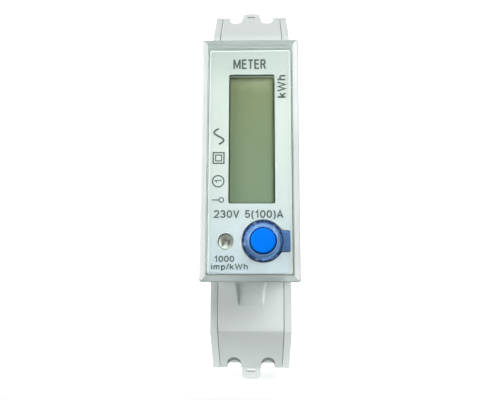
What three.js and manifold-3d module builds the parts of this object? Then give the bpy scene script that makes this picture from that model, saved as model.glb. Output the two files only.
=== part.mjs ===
// Single-phase DIN-rail electricity meter, one module wide, in millimetres.
// X is the width, +Z is up, the front faces -Y. The origin is the centre of the plane that
// touches the face of the 35 mm rail, at half the height of the front.
import * as THREE from "three";
import { mergeVertices } from "three/addons/utils/BufferGeometryUtils.js";
import Module from "manifold-3d";

const wasm = await Module();
wasm.setup();

// ---- Driving dimensions ----
const MODULE_WIDTH = 18; // one module of a distribution board
const NOSE_HEIGHT = 45; // front window of a distribution board
const FRONT_Y = -60; // front of the clear cover
const SHOULDER_Y = -38.2; // flat part of the terminal covers
const SHOULDER_END_Z = 34.3; // where the flat part turns into the slope
const END_Z = 44; // end of the side walls and of the slope
const SLOPE_END_Y = -29.4;
const REAR_Y = 6; // behind the plane of the rail face
const RAIL_HALF = 17.5; // half of the 35 mm rail
const RAIL_LIP = 1; // sheet thickness of the rail

const SIDE_WALL = 1.6;
const SHELL_WALL = 1.4;
const SPLIT_GAP = 0.05; // half of the gap between the case halves
const GAP = 0.3; // between pieces that slide or seat
const BITE = 0.2; // how far the walls of one moulding run into each other
const THROUGH = 1; // how far a cut runs past the surface that it opens

const COVER_WALL = 1.0; // clear cover
const COVER_FRONT_WALL = 1.2;
const COVER_REAR_Y = -41;
const COVER_ROUND = 0.5;
const COVER_SEAT = 0.1; // between the clear cover and the step behind it
const NOSE_WALL = 1.2;
const NOSE_HALF_X = 7.7;
const NOSE_HALF_Z = 21.2;
const NOSE_FRONT_Y = -56.6;

const PANEL_THICK = 1.2;
const PANEL_Y = -56.7; // rear face of the front panel
const LABEL = { x: -0.1, z: -0.1, width: 14.9, height: 41.8, round: 0.2, thick: 0.25 };
const GLUE = 0.05; // between pieces that are glued or soldered
const WINDOW = { x: 0.32, z: 3.92, width: 8.6, height: 24.6, round: 0.4 };

const BUTTON = { x: 2.35, z: -15.2, radius: 2.2, proud: 0.9, travel: 0.5 };
const BUTTON_CLEAR = 0.25; // around the button in its bezel and in the clear cover
const BEZEL_RADIUS = 3.75;
const PRINT_CLEAR = 0.15; // around the bezel in the panel and the label
const LUG = { height: 3.7, endX: 7.3, drop: 0.1 }; // tab of the bezel, towards the side
const LED = { x: -4.43, z: -15.3, radius: 1.38 };
const LED_CLEAR = 0.1;

const TERMINAL_X = 3.95; // centre of a terminal from the middle of the module
const TERMINAL_Z = 31.8;
const CAGE = {
  width: 6.4,
  length: 7.4,
  front: -26.9,
  rear: -15.2,
  wall: 0.7,
  frontWall: 1.8,
  rearWall: 1,
};
const CAGE_TRAVEL = 5.6; // along the screw, until the cage meets the head
const SCREW = {
  headRadius: 2.9,
  headThick: 1.7,
  radius: 2.2,
  tip: -24.85,
  clear: 0.1,
  slotHalf: 0.45,
  slotDepth: 1,
  slotInset: 0.7,
};
const BAR = { width: 4.5, front: -24.7, thick: 1.2, halfLength: 37 };
const SHUNT_HALF = 4;

const DECK_Y = -36.6; // case surface under the terminal covers
const END_WALL_Z = 43.2;
const CROSS_WALL = { z: 26.2, thick: 0.9 };
const PARTITION = { halfThick: 0.5, front: -34.9 }; // between the two poles
const TERMINAL_COVER_THICK = 1.2;
const TERMINAL_COVER_HALF_X = 7.2;

const CLIP_TRAVEL = 4.5;
const ROUND = 24; // sides of a round piece
const FINE_ROUND = 32; // sides of the round openings in the front

// ---- Helpers ----
const solid = (geometry) => {
  const bare = geometry.index ? geometry.toNonIndexed() : geometry.clone();
  bare.deleteAttribute("normal");
  bare.deleteAttribute("uv");
  const merged = mergeVertices(bare, 1e-4);
  return new wasm.Manifold(
    new wasm.Mesh({
      numProp: 3,
      vertProperties: merged.attributes.position.array,
      triVerts: new Uint32Array(merged.index.array),
    }),
  );
};

const join = (first, ...rest) => rest.reduce((sum, piece) => sum.add(piece), first);
const cut = (first, ...rest) => rest.reduce((sum, piece) => sum.subtract(piece), first);

// A box between two corners.
const block = (x0, x1, y0, y1, z0, z1) =>
  solid(
    new THREE.BoxGeometry(x1 - x0, y1 - y0, z1 - z0).translate(
      (x0 + x1) / 2,
      (y0 + y1) / 2,
      (z0 + z1) / 2,
    ),
  );

// A rod along Y, from y0 to y1.
const rodY = (x, z, radius, y0, y1, sides = ROUND) =>
  solid(
    new THREE.CylinderGeometry(radius, radius, y1 - y0, sides).translate(x, (y0 + y1) / 2, z),
  );

// A rod along X, from x0 to x1.
const rodX = (y, z, radius, x0, x1, sides = ROUND) =>
  solid(
    new THREE.CylinderGeometry(radius, radius, x1 - x0, sides)
      .rotateZ(Math.PI / 2)
      .translate((x0 + x1) / 2, y, z),
  );

// A rod along Z, from z0 to z1.
const rodZ = (x, y, radius, z0, z1, sides = ROUND) =>
  solid(
    new THREE.CylinderGeometry(radius, radius, z1 - z0, sides)
      .rotateX(Math.PI / 2)
      .translate(x, y, (z0 + z1) / 2),
  );

// An outline of [z, y] points, extruded along X from x0 to x1.
const sideProfile = (points, x0, x1) => {
  const shape = new THREE.Shape(points.map(([z, y]) => new THREE.Vector2(y, z)));
  const geometry = new THREE.ExtrudeGeometry(shape, { depth: x1 - x0, bevelEnabled: false });
  const axes = new THREE.Matrix4().makeBasis(
    new THREE.Vector3(0, 1, 0),
    new THREE.Vector3(0, 0, 1),
    new THREE.Vector3(1, 0, 0),
  );
  return solid(geometry.applyMatrix4(axes).translate(x0, 0, 0));
};

// An outline in the plane of the front, extruded along Y from y0 to y1.
const frontProfile = (shape, y0, y1, curveSegments = 2) => {
  const geometry = new THREE.ExtrudeGeometry(shape, {
    depth: y1 - y0,
    bevelEnabled: false,
    curveSegments,
  });
  return solid(geometry.rotateX(Math.PI / 2).translate(0, y1, 0));
};

const roundedRectangle = (x, z, width, height, radius) => {
  const left = x - width / 2;
  const right = x + width / 2;
  const low = z - height / 2;
  const high = z + height / 2;
  const shape = new THREE.Shape();
  shape.moveTo(left + radius, low);
  shape.lineTo(right - radius, low);
  shape.absarc(right - radius, low + radius, radius, -Math.PI / 2, 0, false);
  shape.lineTo(right, high - radius);
  shape.absarc(right - radius, high - radius, radius, 0, Math.PI / 2, false);
  shape.lineTo(left + radius, high);
  shape.absarc(left + radius, high - radius, radius, Math.PI / 2, Math.PI, false);
  shape.lineTo(left, low + radius);
  shape.absarc(left + radius, low + radius, radius, Math.PI, 1.5 * Math.PI, false);
  return shape;
};

const plate = (x, z, width, height, radius, y0, y1) =>
  frontProfile(roundedRectangle(x, z, width, height, radius), y0, y1);

// A round piece about an axis along Y through (x, z), from [radius, y] points that close.
const turnedY = (x, z, points) => {
  const profile = points.map(([radius, y]) => new THREE.Vector2(radius, y));
  const closed = [...profile, profile[0].clone()];
  return solid(new THREE.LatheGeometry(closed, ROUND).translate(x, 0, z));
};

const mirrorX = (made) => made.mirror([1, 0, 0]);
const mirrorZ = (made) => made.mirror([0, 0, 1]);

const MATERIALS = {
  case: { color: 0xdfe3e0, roughness: 0.45, metalness: 0 },
  clear: { color: 0xf2f8f5, roughness: 0.05, metalness: 0, transparent: true, opacity: 0.25 },
  panel: { color: 0xe4eeea, roughness: 0.4, metalness: 0 },
  label: { color: 0xe8f2ee, roughness: 0.35, metalness: 0 },
  lcd: { color: 0x87996f, roughness: 0.15, metalness: 0 },
  blue: { color: 0x0a7cf5, roughness: 0.25, metalness: 0 },
  tintedBlue: { color: 0x5f8fc4, roughness: 0.15, metalness: 0, transparent: true, opacity: 0.7 },
  led: { color: 0xb4b9ae, roughness: 0.2, metalness: 0, transparent: true, opacity: 0.8 },
  steel: { color: 0xb9bcbf, roughness: 0.35, metalness: 1 },
  brass: { color: 0xc9a85a, roughness: 0.35, metalness: 1 },
  copper: { color: 0xc07a50, roughness: 0.35, metalness: 1 },
  manganin: { color: 0x8f7a68, roughness: 0.4, metalness: 1 },
  board: { color: 0x1f5a35, roughness: 0.5, metalness: 0 },
  dark: { color: 0x1c1d1f, roughness: 0.5, metalness: 0 },
  grey: { color: 0x6d7173, roughness: 0.6, metalness: 0 },
  can: { color: 0x1d2540, roughness: 0.35, metalness: 0 },
  film: { color: 0xc9a227, roughness: 0.45, metalness: 0 },
  varistor: { color: 0x1f3f8f, roughness: 0.4, metalness: 0 },
};

const meter = new THREE.Group();

const addPiece = (name, made, material) => {
  const { vertProperties, triVerts, numProp } = made.getMesh();
  const count = vertProperties.length / numProp;
  const place = new Float32Array(count * 3);
  for (let i = 0; i < count; i += 1) {
    place.set(vertProperties.subarray(i * numProp, i * numProp + 3), i * 3);
  }
  const geometry = new THREE.BufferGeometry();
  geometry.setAttribute("position", new THREE.BufferAttribute(place, 3));
  geometry.setIndex(new THREE.BufferAttribute(new Uint32Array(triVerts), 1));
  geometry.computeVertexNormals();
  const mesh = new THREE.Mesh(geometry, new THREE.MeshStandardMaterial(MATERIALS[material]));
  mesh.name = name;
  meter.add(mesh);
};

// ---- Case ----
const halfWidth = MODULE_WIDTH / 2;
const halfNose = NOSE_HEIGHT / 2;
const innerX = halfWidth - SIDE_WALL;
const baseY = COVER_REAR_Y + COVER_SEAT; // step that the clear cover stops on
const REAR_EDGE_Z = 41; // end of the rear, past the chamfer
const CHAMFER_START_Y = -9;
const CHAMFER_END_Y = -4;
const HOOK_TIP_Z = 15;
const HOOK_GRIP_Y = RAIL_LIP + 0.4;
const HOOK_TIP_THICK = 1.8;
const RAIL_CLEAR = 0.2; // above the rail, in the fixed hook
const CLIP_ROOM = 0.8; // below the rail, where the clip comes through

// Rear outline from the lower end to the upper end, with the rail recess, [z, y].
const railRecess = [
  [-RAIL_HALF - CLIP_ROOM, REAR_Y],
  [-RAIL_HALF - CLIP_ROOM, 0],
  [RAIL_HALF + RAIL_CLEAR, 0],
  [RAIL_HALF + RAIL_CLEAR, HOOK_GRIP_Y],
  [HOOK_TIP_Z, HOOK_GRIP_Y],
  [HOOK_TIP_Z, HOOK_GRIP_Y + HOOK_TIP_THICK],
  [RAIL_HALF, REAR_Y],
];

// One end of the outline, [z, y], from the nose step to the rear.
const endOutline = (side, shoulderZ, shoulderY, slopeZ, slopeY) =>
  [
    [halfNose, baseY],
    [halfNose, shoulderY],
    [shoulderZ, shoulderY],
    [slopeZ, slopeY],
    [slopeZ, CHAMFER_START_Y],
    [REAR_EDGE_Z, CHAMFER_END_Y],
    [REAR_EDGE_Z, REAR_Y],
  ].map(([z, y]) => [side * z, y]);

const outline = (shoulderZ, shoulderY, slopeZ, slopeY) => [
  ...endOutline(-1, shoulderZ, shoulderY, slopeZ, slopeY),
  ...railRecess,
  ...endOutline(1, shoulderZ, shoulderY, slopeZ, slopeY).reverse(),
];

const slopeRun = (SLOPE_END_Y - SHOULDER_Y) / (END_Z - SHOULDER_END_Z);
const DECK_BEND_Z = 33.6;
const deckEndY = DECK_Y + (END_WALL_Z - DECK_BEND_Z) * slopeRun;

// The shell between the side walls: deck, slope, end walls and rear.
const shellOutline = outline(DECK_BEND_Z, DECK_Y, END_WALL_Z, deckEndY);

// Hollow of the body, [z, y], inside the shell.
const CHAMBER_REAR_Y = -1.6;
const CORNER_SHIFT = 0.6; // from an outer corner to the matching inner corner
const hollowOutline = () => {
  const end = [
    [NOSE_HALF_Z - NOSE_WALL, DECK_Y + SHELL_WALL],
    [DECK_BEND_Z - CORNER_SHIFT, DECK_Y + SHELL_WALL],
    [END_WALL_Z - SHELL_WALL, deckEndY + CORNER_SHIFT],
    [END_WALL_Z - SHELL_WALL, CHAMFER_START_Y - CORNER_SHIFT],
    [REAR_EDGE_Z - SHELL_WALL, CHAMFER_END_Y - CORNER_SHIFT],
    [REAR_EDGE_Z - SHELL_WALL, CHAMBER_REAR_Y],
  ];
  return [...end.map(([z, y]) => [-z, y]), ...end.reverse()];
};

const CLIP = { halfX: 4.8, flangeX: 6, y0: 1.25, y1: 5.2, tip: -15, end: -46.5 };
const CLIP_FLANGE = { y0: 2.3, y1: 4, top: -22, low: -36 };
const CLIP_RUN = 0.2; // running clearance of the clip

const clipChannel = () =>
  join(
    block(
      -CLIP.halfX - CLIP_RUN,
      CLIP.halfX + CLIP_RUN,
      CLIP.y0 - CLIP_RUN,
      REAR_Y + THROUGH,
      -REAR_EDGE_Z - THROUGH,
      -RAIL_HALF,
    ),
    block(
      -CLIP.flangeX - CLIP_RUN,
      CLIP.flangeX + CLIP_RUN,
      CLIP_FLANGE.y0 - CLIP_RUN,
      CLIP_FLANGE.y1 + CLIP_RUN,
      CLIP_FLANGE.low - CLIP_TRAVEL - CLIP_RUN,
      CLIP_FLANGE.top + CLIP_RUN,
    ),
  );

const RIVETS = [
  { z: 23.6, y: -12 },
  { z: 38.6, y: -7.5 },
];
const RIVET = { radius: 1.3, headRadius: 2.3, headThick: 0.7, bossRadius: 2.3, hollow: 0.7 };
const RIVET_SIDES = 16;
const RIVET_CLEAR = 0.2; // around the rivet
const RIVET_SINK = 0.1; // of the rivet's head below the side of the case
const WIRE_SLOT = { width: 4.9, rear: -16.2, front: -23.2, round: 0.8 };

const wireSlot = (side) => {
  const shape = roundedRectangle(
    TERMINAL_X,
    (WIRE_SLOT.rear + WIRE_SLOT.front) / 2,
    WIRE_SLOT.width,
    WIRE_SLOT.rear - WIRE_SLOT.front,
    WIRE_SLOT.round,
  );
  const depth = 2 * SHELL_WALL + 1;
  const geometry = new THREE.ExtrudeGeometry(shape, {
    depth,
    bevelEnabled: false,
    curveSegments: 4,
  });
  const made = solid(geometry.translate(0, 0, END_WALL_Z - depth / 2));
  return side > 0 ? made : mirrorZ(made);
};

// Finger recess of a terminal cover: a trapezoid in the plane of the front, widened by spread.
const RECESS = { rootWidth: 7.2, tipWidth: 5.4, tipZ: 28.6, depth: 1.9, wall: 0.6 };
const RECESS_PAD = { margin: 1.4, thick: 0.8 }; // extra thickness of the deck under the recess
const HEAD_HOLE = { clear: 0.25, depth: 3 };
const coverStartZ = halfNose + GAP;
const recessFloorY = SHOULDER_Y + RECESS.depth;
const fingerPrism = (spread, y0, y1, zStart, zEnd) => {
  const shape = new THREE.Shape();
  const root = RECESS.rootWidth / 2 + spread;
  const tip = RECESS.tipWidth / 2 + spread;
  shape.moveTo(-root, zStart);
  shape.lineTo(root, zStart);
  shape.lineTo(tip, zEnd);
  shape.lineTo(-tip, zEnd);
  return frontProfile(shape, y0, y1);
};

// The half on the +X side; the other half is its mirror image.
const caseHalf = () => {
  const wall = sideProfile(
    outline(SHOULDER_END_Z, SHOULDER_Y, END_Z, SLOPE_END_Y),
    innerX,
    halfWidth,
  );
  const shell = cut(
    sideProfile(shellOutline, SPLIT_GAP, innerX + BITE),
    sideProfile(hollowOutline(), -THROUGH, innerX),
  );
  const noseBox = block(
    SPLIT_GAP,
    NOSE_HALF_X,
    NOSE_FRONT_Y,
    DECK_Y + SHELL_WALL,
    -NOSE_HALF_Z,
    NOSE_HALF_Z,
  );
  const noseHollow = block(
    -THROUGH,
    NOSE_HALF_X - NOSE_WALL,
    NOSE_FRONT_Y - THROUGH,
    DECK_Y + SHELL_WALL + THROUGH,
    -NOSE_HALF_Z + NOSE_WALL,
    NOSE_HALF_Z - NOSE_WALL,
  );
  let half = cut(join(wall, shell, noseBox), noseHollow);
  for (const side of [-1, 1]) {
    const near = (z0, z1) => (side > 0 ? [z0, z1] : [-z1, -z0]);
    const crossWall = block(
      SPLIT_GAP,
      innerX + BITE,
      DECK_Y + BITE,
      CHAMBER_REAR_Y + BITE,
      ...near(CROSS_WALL.z, CROSS_WALL.z + CROSS_WALL.thick),
    );
    const barPass = block(
      TERMINAL_X - BAR.width / 2 - GAP,
      TERMINAL_X + BAR.width / 2 + GAP,
      BAR.front - GAP,
      BAR.front + BAR.thick + GAP,
      ...near(CROSS_WALL.z - THROUGH, CROSS_WALL.z + CROSS_WALL.thick + THROUGH),
    );
    const partition = block(
      SPLIT_GAP,
      PARTITION.halfThick,
      PARTITION.front,
      CHAMBER_REAR_Y + BITE,
      ...near(CROSS_WALL.z + BITE, END_WALL_Z - SHELL_WALL + BITE),
    );
    const trimmedPartition = partition.intersect(
      sideProfile(shellOutline, -THROUGH, PARTITION.halfThick + THROUGH),
    );
    const recessPad = block(
      SPLIT_GAP,
      RECESS.rootWidth / 2 + RECESS_PAD.margin,
      DECK_Y + SHELL_WALL - BITE,
      DECK_Y + SHELL_WALL + RECESS_PAD.thick,
      ...near(halfNose - RECESS_PAD.margin, RECESS.tipZ + RECESS_PAD.margin),
    );
    const recessPrism = fingerPrism(
      RECESS.wall + GAP,
      DECK_Y - THROUGH,
      recessFloorY + RECESS.wall + GAP,
      coverStartZ - BITE,
      RECESS.tipZ + RECESS.wall + GAP,
    );
    const recessSeat = side > 0 ? recessPrism : mirrorZ(recessPrism);
    half = cut(
      join(half, recessPad, cut(crossWall, barPass), trimmedPartition),
      recessSeat,
    );
    half = cut(half, wireSlot(side));
    const headHole = rodY(
      TERMINAL_X,
      side * TERMINAL_Z,
      SCREW.headRadius + HEAD_HOLE.clear,
      DECK_Y - HEAD_HOLE.depth,
      DECK_Y + HEAD_HOLE.depth,
    );
    half = cut(half, headHole);
    for (const { z, y } of RIVETS) {
      const rod = (radius, x0, x1) => rodX(y, side * z, radius, x0, x1, RIVET_SIDES);
      const boss = rod(RIVET.bossRadius, SPLIT_GAP, innerX + BITE);
      const bore = rod(RIVET.radius + RIVET_CLEAR, -THROUGH, halfWidth + THROUGH);
      const seatX = halfWidth - RIVET_SINK - RIVET.headThick - RIVET_SINK;
      const seat = rod(RIVET.headRadius + RIVET_CLEAR, seatX, halfWidth + THROUGH);
      half = cut(join(half, boss), bore, seat);
    }
  }
  return cut(half, clipChannel());
};

const rightHalf = caseHalf();
addPiece("case_right", rightHalf, "case");
addPiece("case_left", mirrorX(rightHalf), "case");

RIVETS.forEach(({ z, y }, row) => {
  for (const side of [-1, 1]) {
    const end = halfWidth - RIVET_SINK;
    const rod = (radius, x0, x1) => rodX(y, side * z, radius, x0, x1, RIVET_SIDES);
    const rivet = join(
      rod(RIVET.radius, -end, end),
      rod(RIVET.headRadius, -end, -end + RIVET.headThick),
      rod(RIVET.headRadius, end - RIVET.headThick, end),
    );
    const bored = cut(rivet, rod(RIVET.hollow, -halfWidth, halfWidth));
    const place = (side > 0 ? "upper" : "lower") + (row ? "_outer" : "_inner");
    addPiece("case_rivet_" + place, bored, "steel");
  }
});

// ---- Front ----
const clearCover = () => {
  const shell = plate(0, 0, MODULE_WIDTH, NOSE_HEIGHT, COVER_ROUND, FRONT_Y, COVER_REAR_Y);
  const hollow = plate(
    0,
    0,
    MODULE_WIDTH - 2 * COVER_WALL,
    NOSE_HEIGHT - 2 * COVER_WALL,
    COVER_ROUND / 2,
    FRONT_Y + COVER_FRONT_WALL,
    COVER_REAR_Y + THROUGH,
  );
  const hole = rodY(
    BUTTON.x,
    BUTTON.z,
    BUTTON.radius + BUTTON_CLEAR,
    FRONT_Y - THROUGH,
    FRONT_Y + COVER_FRONT_WALL + THROUGH,
    FINE_ROUND,
  );
  return cut(shell, hollow, hole);
};
addPiece("clear_front_cover", clearCover(), "clear");

const windowCut = (y0, y1) =>
  plate(WINDOW.x, WINDOW.z, WINDOW.width, WINDOW.height, WINDOW.round, y0, y1);

const lugCut = (y0, y1) =>
  block(
    BUTTON.x,
    LUG.endX + PRINT_CLEAR,
    y0,
    y1,
    BUTTON.z - LUG.height / 2 - PRINT_CLEAR,
    BUTTON.z + LUG.height / 2 + PRINT_CLEAR,
  );

const bezelCut = (y0, y1) =>
  rodY(BUTTON.x, BUTTON.z, BEZEL_RADIUS + PRINT_CLEAR, y0, y1, FINE_ROUND);

const ledCut = (y0, y1) => rodY(LED.x, LED.z, LED.radius + LED_CLEAR, y0, y1);

const PANEL_ROUND = 0.4;
const panelFront = PANEL_Y - PANEL_THICK;
const frontPanel = () => {
  const depth = [panelFront - THROUGH, PANEL_Y + THROUGH];
  const sheet = plate(0, 0, 2 * NOSE_HALF_X, 2 * NOSE_HALF_Z, PANEL_ROUND, panelFront, PANEL_Y);
  return cut(sheet, windowCut(...depth), bezelCut(...depth), ledCut(...depth));
};
addPiece("front_panel", frontPanel(), "panel");

const labelRear = panelFront - GLUE;
const labelFront = labelRear - LABEL.thick;
const faceLabel = () => {
  const depth = [labelFront - THROUGH, labelRear + THROUGH];
  const sheet = plate(
    LABEL.x,
    LABEL.z,
    LABEL.width,
    LABEL.height,
    LABEL.round,
    labelFront,
    labelRear,
  );
  const round = cut(sheet, windowCut(...depth), bezelCut(...depth), ledCut(...depth));
  return cut(round, lugCut(...depth));
};
addPiece("face_label", faceLabel(), "label");

// ---- Button, bezel and switch ----
const BEZEL = { proud: 0.3, rear: -55.9, chamfer: 0.3 };
const bezelFront = labelFront - BEZEL.proud;
const bezelBore = BUTTON.radius + BUTTON_CLEAR;
const bezel = () => {
  const ring = turnedY(BUTTON.x, BUTTON.z, [
    [bezelBore, BEZEL.rear],
    [bezelBore, bezelFront],
    [BEZEL_RADIUS - BEZEL.chamfer, bezelFront],
    [BEZEL_RADIUS, bezelFront + BEZEL.chamfer],
    [BEZEL_RADIUS, BEZEL.rear],
  ]);
  const lug = block(
    BUTTON.x + BEZEL_RADIUS - 2 * BITE,
    LUG.endX,
    bezelFront + LUG.drop,
    panelFront - GLUE,
    BUTTON.z - LUG.height / 2,
    BUTTON.z + LUG.height / 2,
  );
  return join(ring, lug);
};
addPiece("button_bezel", bezel(), "tintedBlue");

const BUTTON_EDGE = 0.25; // chamfer around the button's face
const BUTTON_FLANGE = { radius: 3, front: -55.6, rear: -55.1 };
const STEM_RADIUS = 1.2;
const PLUNGER = { front: -54.7, rear: -53.4, radius: 1.6 };
const PLUNGER_CLEAR = 0.15;
const SWITCH = { half: 3, front: -54 };
const BOARD_FRONT = -51;
const SOLDER = 0.1; // between a component and its board
const pushButton = () =>
  turnedY(BUTTON.x, BUTTON.z, [
    [0, FRONT_Y - BUTTON.proud],
    [BUTTON.radius - BUTTON_EDGE, FRONT_Y - BUTTON.proud],
    [BUTTON.radius, FRONT_Y - BUTTON.proud + BUTTON_EDGE],
    [BUTTON.radius, BUTTON_FLANGE.front],
    [BUTTON_FLANGE.radius, BUTTON_FLANGE.front],
    [BUTTON_FLANGE.radius, BUTTON_FLANGE.rear],
    [STEM_RADIUS, BUTTON_FLANGE.rear],
    [STEM_RADIUS, PLUNGER.front - GLUE],
    [0, PLUNGER.front - GLUE],
  ]);
addPiece("push_button", pushButton(), "blue");
addPiece(
  "switch_plunger",
  rodY(BUTTON.x, BUTTON.z, PLUNGER.radius, PLUNGER.front, PLUNGER.rear),
  "dark",
);
const tactSwitch = cut(
  block(
    BUTTON.x - SWITCH.half,
    BUTTON.x + SWITCH.half,
    SWITCH.front,
    BOARD_FRONT - SOLDER,
    BUTTON.z - SWITCH.half,
    BUTTON.z + SWITCH.half,
  ),
  rodY(
    BUTTON.x,
    BUTTON.z,
    PLUNGER.radius + PLUNGER_CLEAR,
    SWITCH.front - THROUGH,
    PLUNGER.rear + BUTTON.travel + PLUNGER_CLEAR,
  ),
);
addPiece("tact_switch", tactSwitch, "grey");

// ---- Pulse LED ----
const LED_BASE = { rear: -53, height: 0.8, rim: 0.15 };
const LED_DOME = [
  [0, 0],
  [0.6, 0.2],
  [0.92, 0.7],
  [1, 1.3],
]; // share of the radius, depth behind the panel's front
const LED_LEG = { pitch: 1.5, half: 0.2 };
const pulseLed = () => {
  const baseFront = LED_BASE.rear - LED_BASE.height;
  const lens = turnedY(LED.x, LED.z, [
    ...LED_DOME.map(([share, depth]) => [LED.radius * share, panelFront + depth]),
    [LED.radius, baseFront],
    [LED.radius + LED_BASE.rim, baseFront],
    [LED.radius + LED_BASE.rim, LED_BASE.rear],
    [0, LED_BASE.rear],
  ]);
  const legs = [-1, 1].map((side) => {
    const x = LED.x + (side * LED_LEG.pitch) / 2;
    return block(
      x - LED_LEG.half,
      x + LED_LEG.half,
      LED_BASE.rear - BITE,
      BOARD_FRONT - SOLDER,
      LED.z - LED_LEG.half,
      LED.z + LED_LEG.half,
    );
  });
  return join(lens, ...legs);
};
addPiece("pulse_led", pulseLed(), "led");

// ---- Display ----
const LCD = { width: 11.8, height: 27.6, round: 0.2, front: -56.4, rear: -53.8 };
const ZEBRA = { width: 1.1, inset: 0.6 }; // strips of conductive rubber at both sides
const REFLECTOR = { inset: 0.2, gap: 0.4, round: 0.3 };
addPiece(
  "lcd_glass",
  plate(WINDOW.x, WINDOW.z, LCD.width, LCD.height, LCD.round, LCD.front, LCD.rear),
  "lcd",
);
const zebraFront = LCD.rear + SOLDER;
const zebraRear = BOARD_FRONT - SOLDER;
for (const [name, side] of [
  ["left", -1],
  ["right", 1],
]) {
  const middle = WINDOW.x + (side * (LCD.width - ZEBRA.width)) / 2;
  addPiece(
    "zebra_strip_" + name,
    block(
      middle - ZEBRA.width / 2,
      middle + ZEBRA.width / 2,
      zebraFront,
      zebraRear,
      WINDOW.z - LCD.height / 2 + ZEBRA.inset,
      WINDOW.z + LCD.height / 2 - ZEBRA.inset,
    ),
    "dark",
  );
}
addPiece(
  "lcd_reflector",
  plate(
    WINDOW.x,
    WINDOW.z,
    LCD.width - 2 * ZEBRA.width - 2 * REFLECTOR.gap,
    LCD.height - 2 * REFLECTOR.inset,
    REFLECTOR.round,
    zebraFront,
    zebraRear,
  ),
  "panel",
);

// ---- Circuit boards and what they carry ----
const BOARD_THICK = 1;
const DISPLAY_BOARD = { width: 12.6, height: 39.2, round: 0.4 };
const MAIN_BOARD = { front: BOARD_FRONT + BOARD_THICK + BITE, rear: -2.6, halfZ: 19.4 };
const HEADER = { rear: -47.2, height: 2.55, halfZ: 7.6 };
const CHIP = { front: -41, rear: -33.5, height: 2.35, halfZ: 7.7 };
const CRYSTAL = { y: -39.1, radius: 1.9, height: 3.05, z0: 10.6, z1: 15.4 };
const FILM = { front: -20, rear: -7, height: 6.05, z0: -3.5, z1: 14.5 };
const ELECTROLYTIC = { x: -3.9, y: -12, radius: 3.2, z0: -14, z1: 2 };
const VARISTOR = { y: -13.5, z: -10.6, radius: 5, thick: 4.05 };
const RESISTOR = { x: -2.6, y: -12.5, radius: 1.8, z0: 6, z1: 15.5, foot: 0.3 };
addPiece(
  "display_board",
  plate(
    0,
    0,
    DISPLAY_BOARD.width,
    DISPLAY_BOARD.height,
    DISPLAY_BOARD.round,
    BOARD_FRONT,
    BOARD_FRONT + BOARD_THICK,
  ),
  "board",
);
addPiece(
  "main_board",
  block(
    -BOARD_THICK / 2,
    BOARD_THICK / 2,
    MAIN_BOARD.front,
    MAIN_BOARD.rear,
    -MAIN_BOARD.halfZ,
    MAIN_BOARD.halfZ,
  ),
  "board",
);

// A component against the board: side +1 is the +X face, height is how far it stands off.
const boardSide = BOARD_THICK / 2 + GLUE;
const reachX = (side, height) => {
  const top = boardSide + height;
  return side > 0 ? [boardSide, top] : [-top, -boardSide];
};
addPiece(
  "board_header",
  block(...reachX(1, HEADER.height), MAIN_BOARD.front, HEADER.rear, -HEADER.halfZ, HEADER.halfZ),
  "dark",
);
addPiece(
  "metering_chip",
  block(...reachX(-1, CHIP.height), CHIP.front, CHIP.rear, -CHIP.halfZ, CHIP.halfZ),
  "dark",
);
const crystalReach = reachX(-1, CRYSTAL.height);
const crystalEnd = (z) => rodX(CRYSTAL.y, z, CRYSTAL.radius, ...crystalReach, 16);
addPiece(
  "quartz_crystal",
  join(
    block(
      ...crystalReach,
      CRYSTAL.y - CRYSTAL.radius,
      CRYSTAL.y + CRYSTAL.radius,
      CRYSTAL.z0,
      CRYSTAL.z1,
    ),
    crystalEnd(CRYSTAL.z0),
    crystalEnd(CRYSTAL.z1),
  ),
  "steel",
);
addPiece(
  "film_capacitor",
  block(...reachX(1, FILM.height), FILM.front, FILM.rear, FILM.z0, FILM.z1),
  "film",
);
addPiece(
  "electrolytic_capacitor",
  rodZ(ELECTROLYTIC.x, ELECTROLYTIC.y, ELECTROLYTIC.radius, ELECTROLYTIC.z0, ELECTROLYTIC.z1),
  "can",
);
addPiece(
  "varistor",
  rodX(VARISTOR.y, VARISTOR.z, VARISTOR.radius, ...reachX(1, VARISTOR.thick)),
  "varistor",
);
addPiece(
  "dropper_resistor",
  join(
    rodZ(RESISTOR.x, RESISTOR.y, RESISTOR.radius, RESISTOR.z0, RESISTOR.z1, 16),
    block(
      RESISTOR.x,
      -boardSide,
      RESISTOR.y - RESISTOR.foot,
      RESISTOR.y + RESISTOR.foot,
      RESISTOR.z0 + RESISTOR.foot,
      RESISTOR.z1 - RESISTOR.foot,
    ),
  ),
  "grey",
);

// ---- Current path ----
const barBlock = (side, z0, z1) =>
  block(
    side * TERMINAL_X - BAR.width / 2,
    side * TERMINAL_X + BAR.width / 2,
    BAR.front,
    BAR.front + BAR.thick,
    z0,
    z1,
  );
addPiece("neutral_bar", barBlock(1, -BAR.halfLength, BAR.halfLength), "brass");
addPiece("line_bar_upper", barBlock(-1, SHUNT_HALF, BAR.halfLength), "copper");
addPiece("line_bar_lower", barBlock(-1, -BAR.halfLength, -SHUNT_HALF), "copper");
const WELD = 0.02; // between the bars and the shunt
addPiece("shunt_element", barBlock(-1, -SHUNT_HALF + WELD, SHUNT_HALF - WELD), "manganin");
const PIN = { radius: 0.5, sides: 12, senseZ: SHUNT_HALF + 1.5, neutralZ: -8 };
const barMiddle = BAR.front + BAR.thick / 2;
const pinReach = TERMINAL_X - BAR.width / 2 - GLUE;
const pin = (z, x0, x1) => rodX(barMiddle, z, PIN.radius, x0, x1, PIN.sides);
addPiece("sense_pin_upper", pin(PIN.senseZ, -pinReach, -boardSide), "copper");
addPiece("sense_pin_lower", pin(-PIN.senseZ, -pinReach, -boardSide), "copper");
addPiece("neutral_pin", pin(PIN.neutralZ, boardSide, pinReach), "copper");

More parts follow.
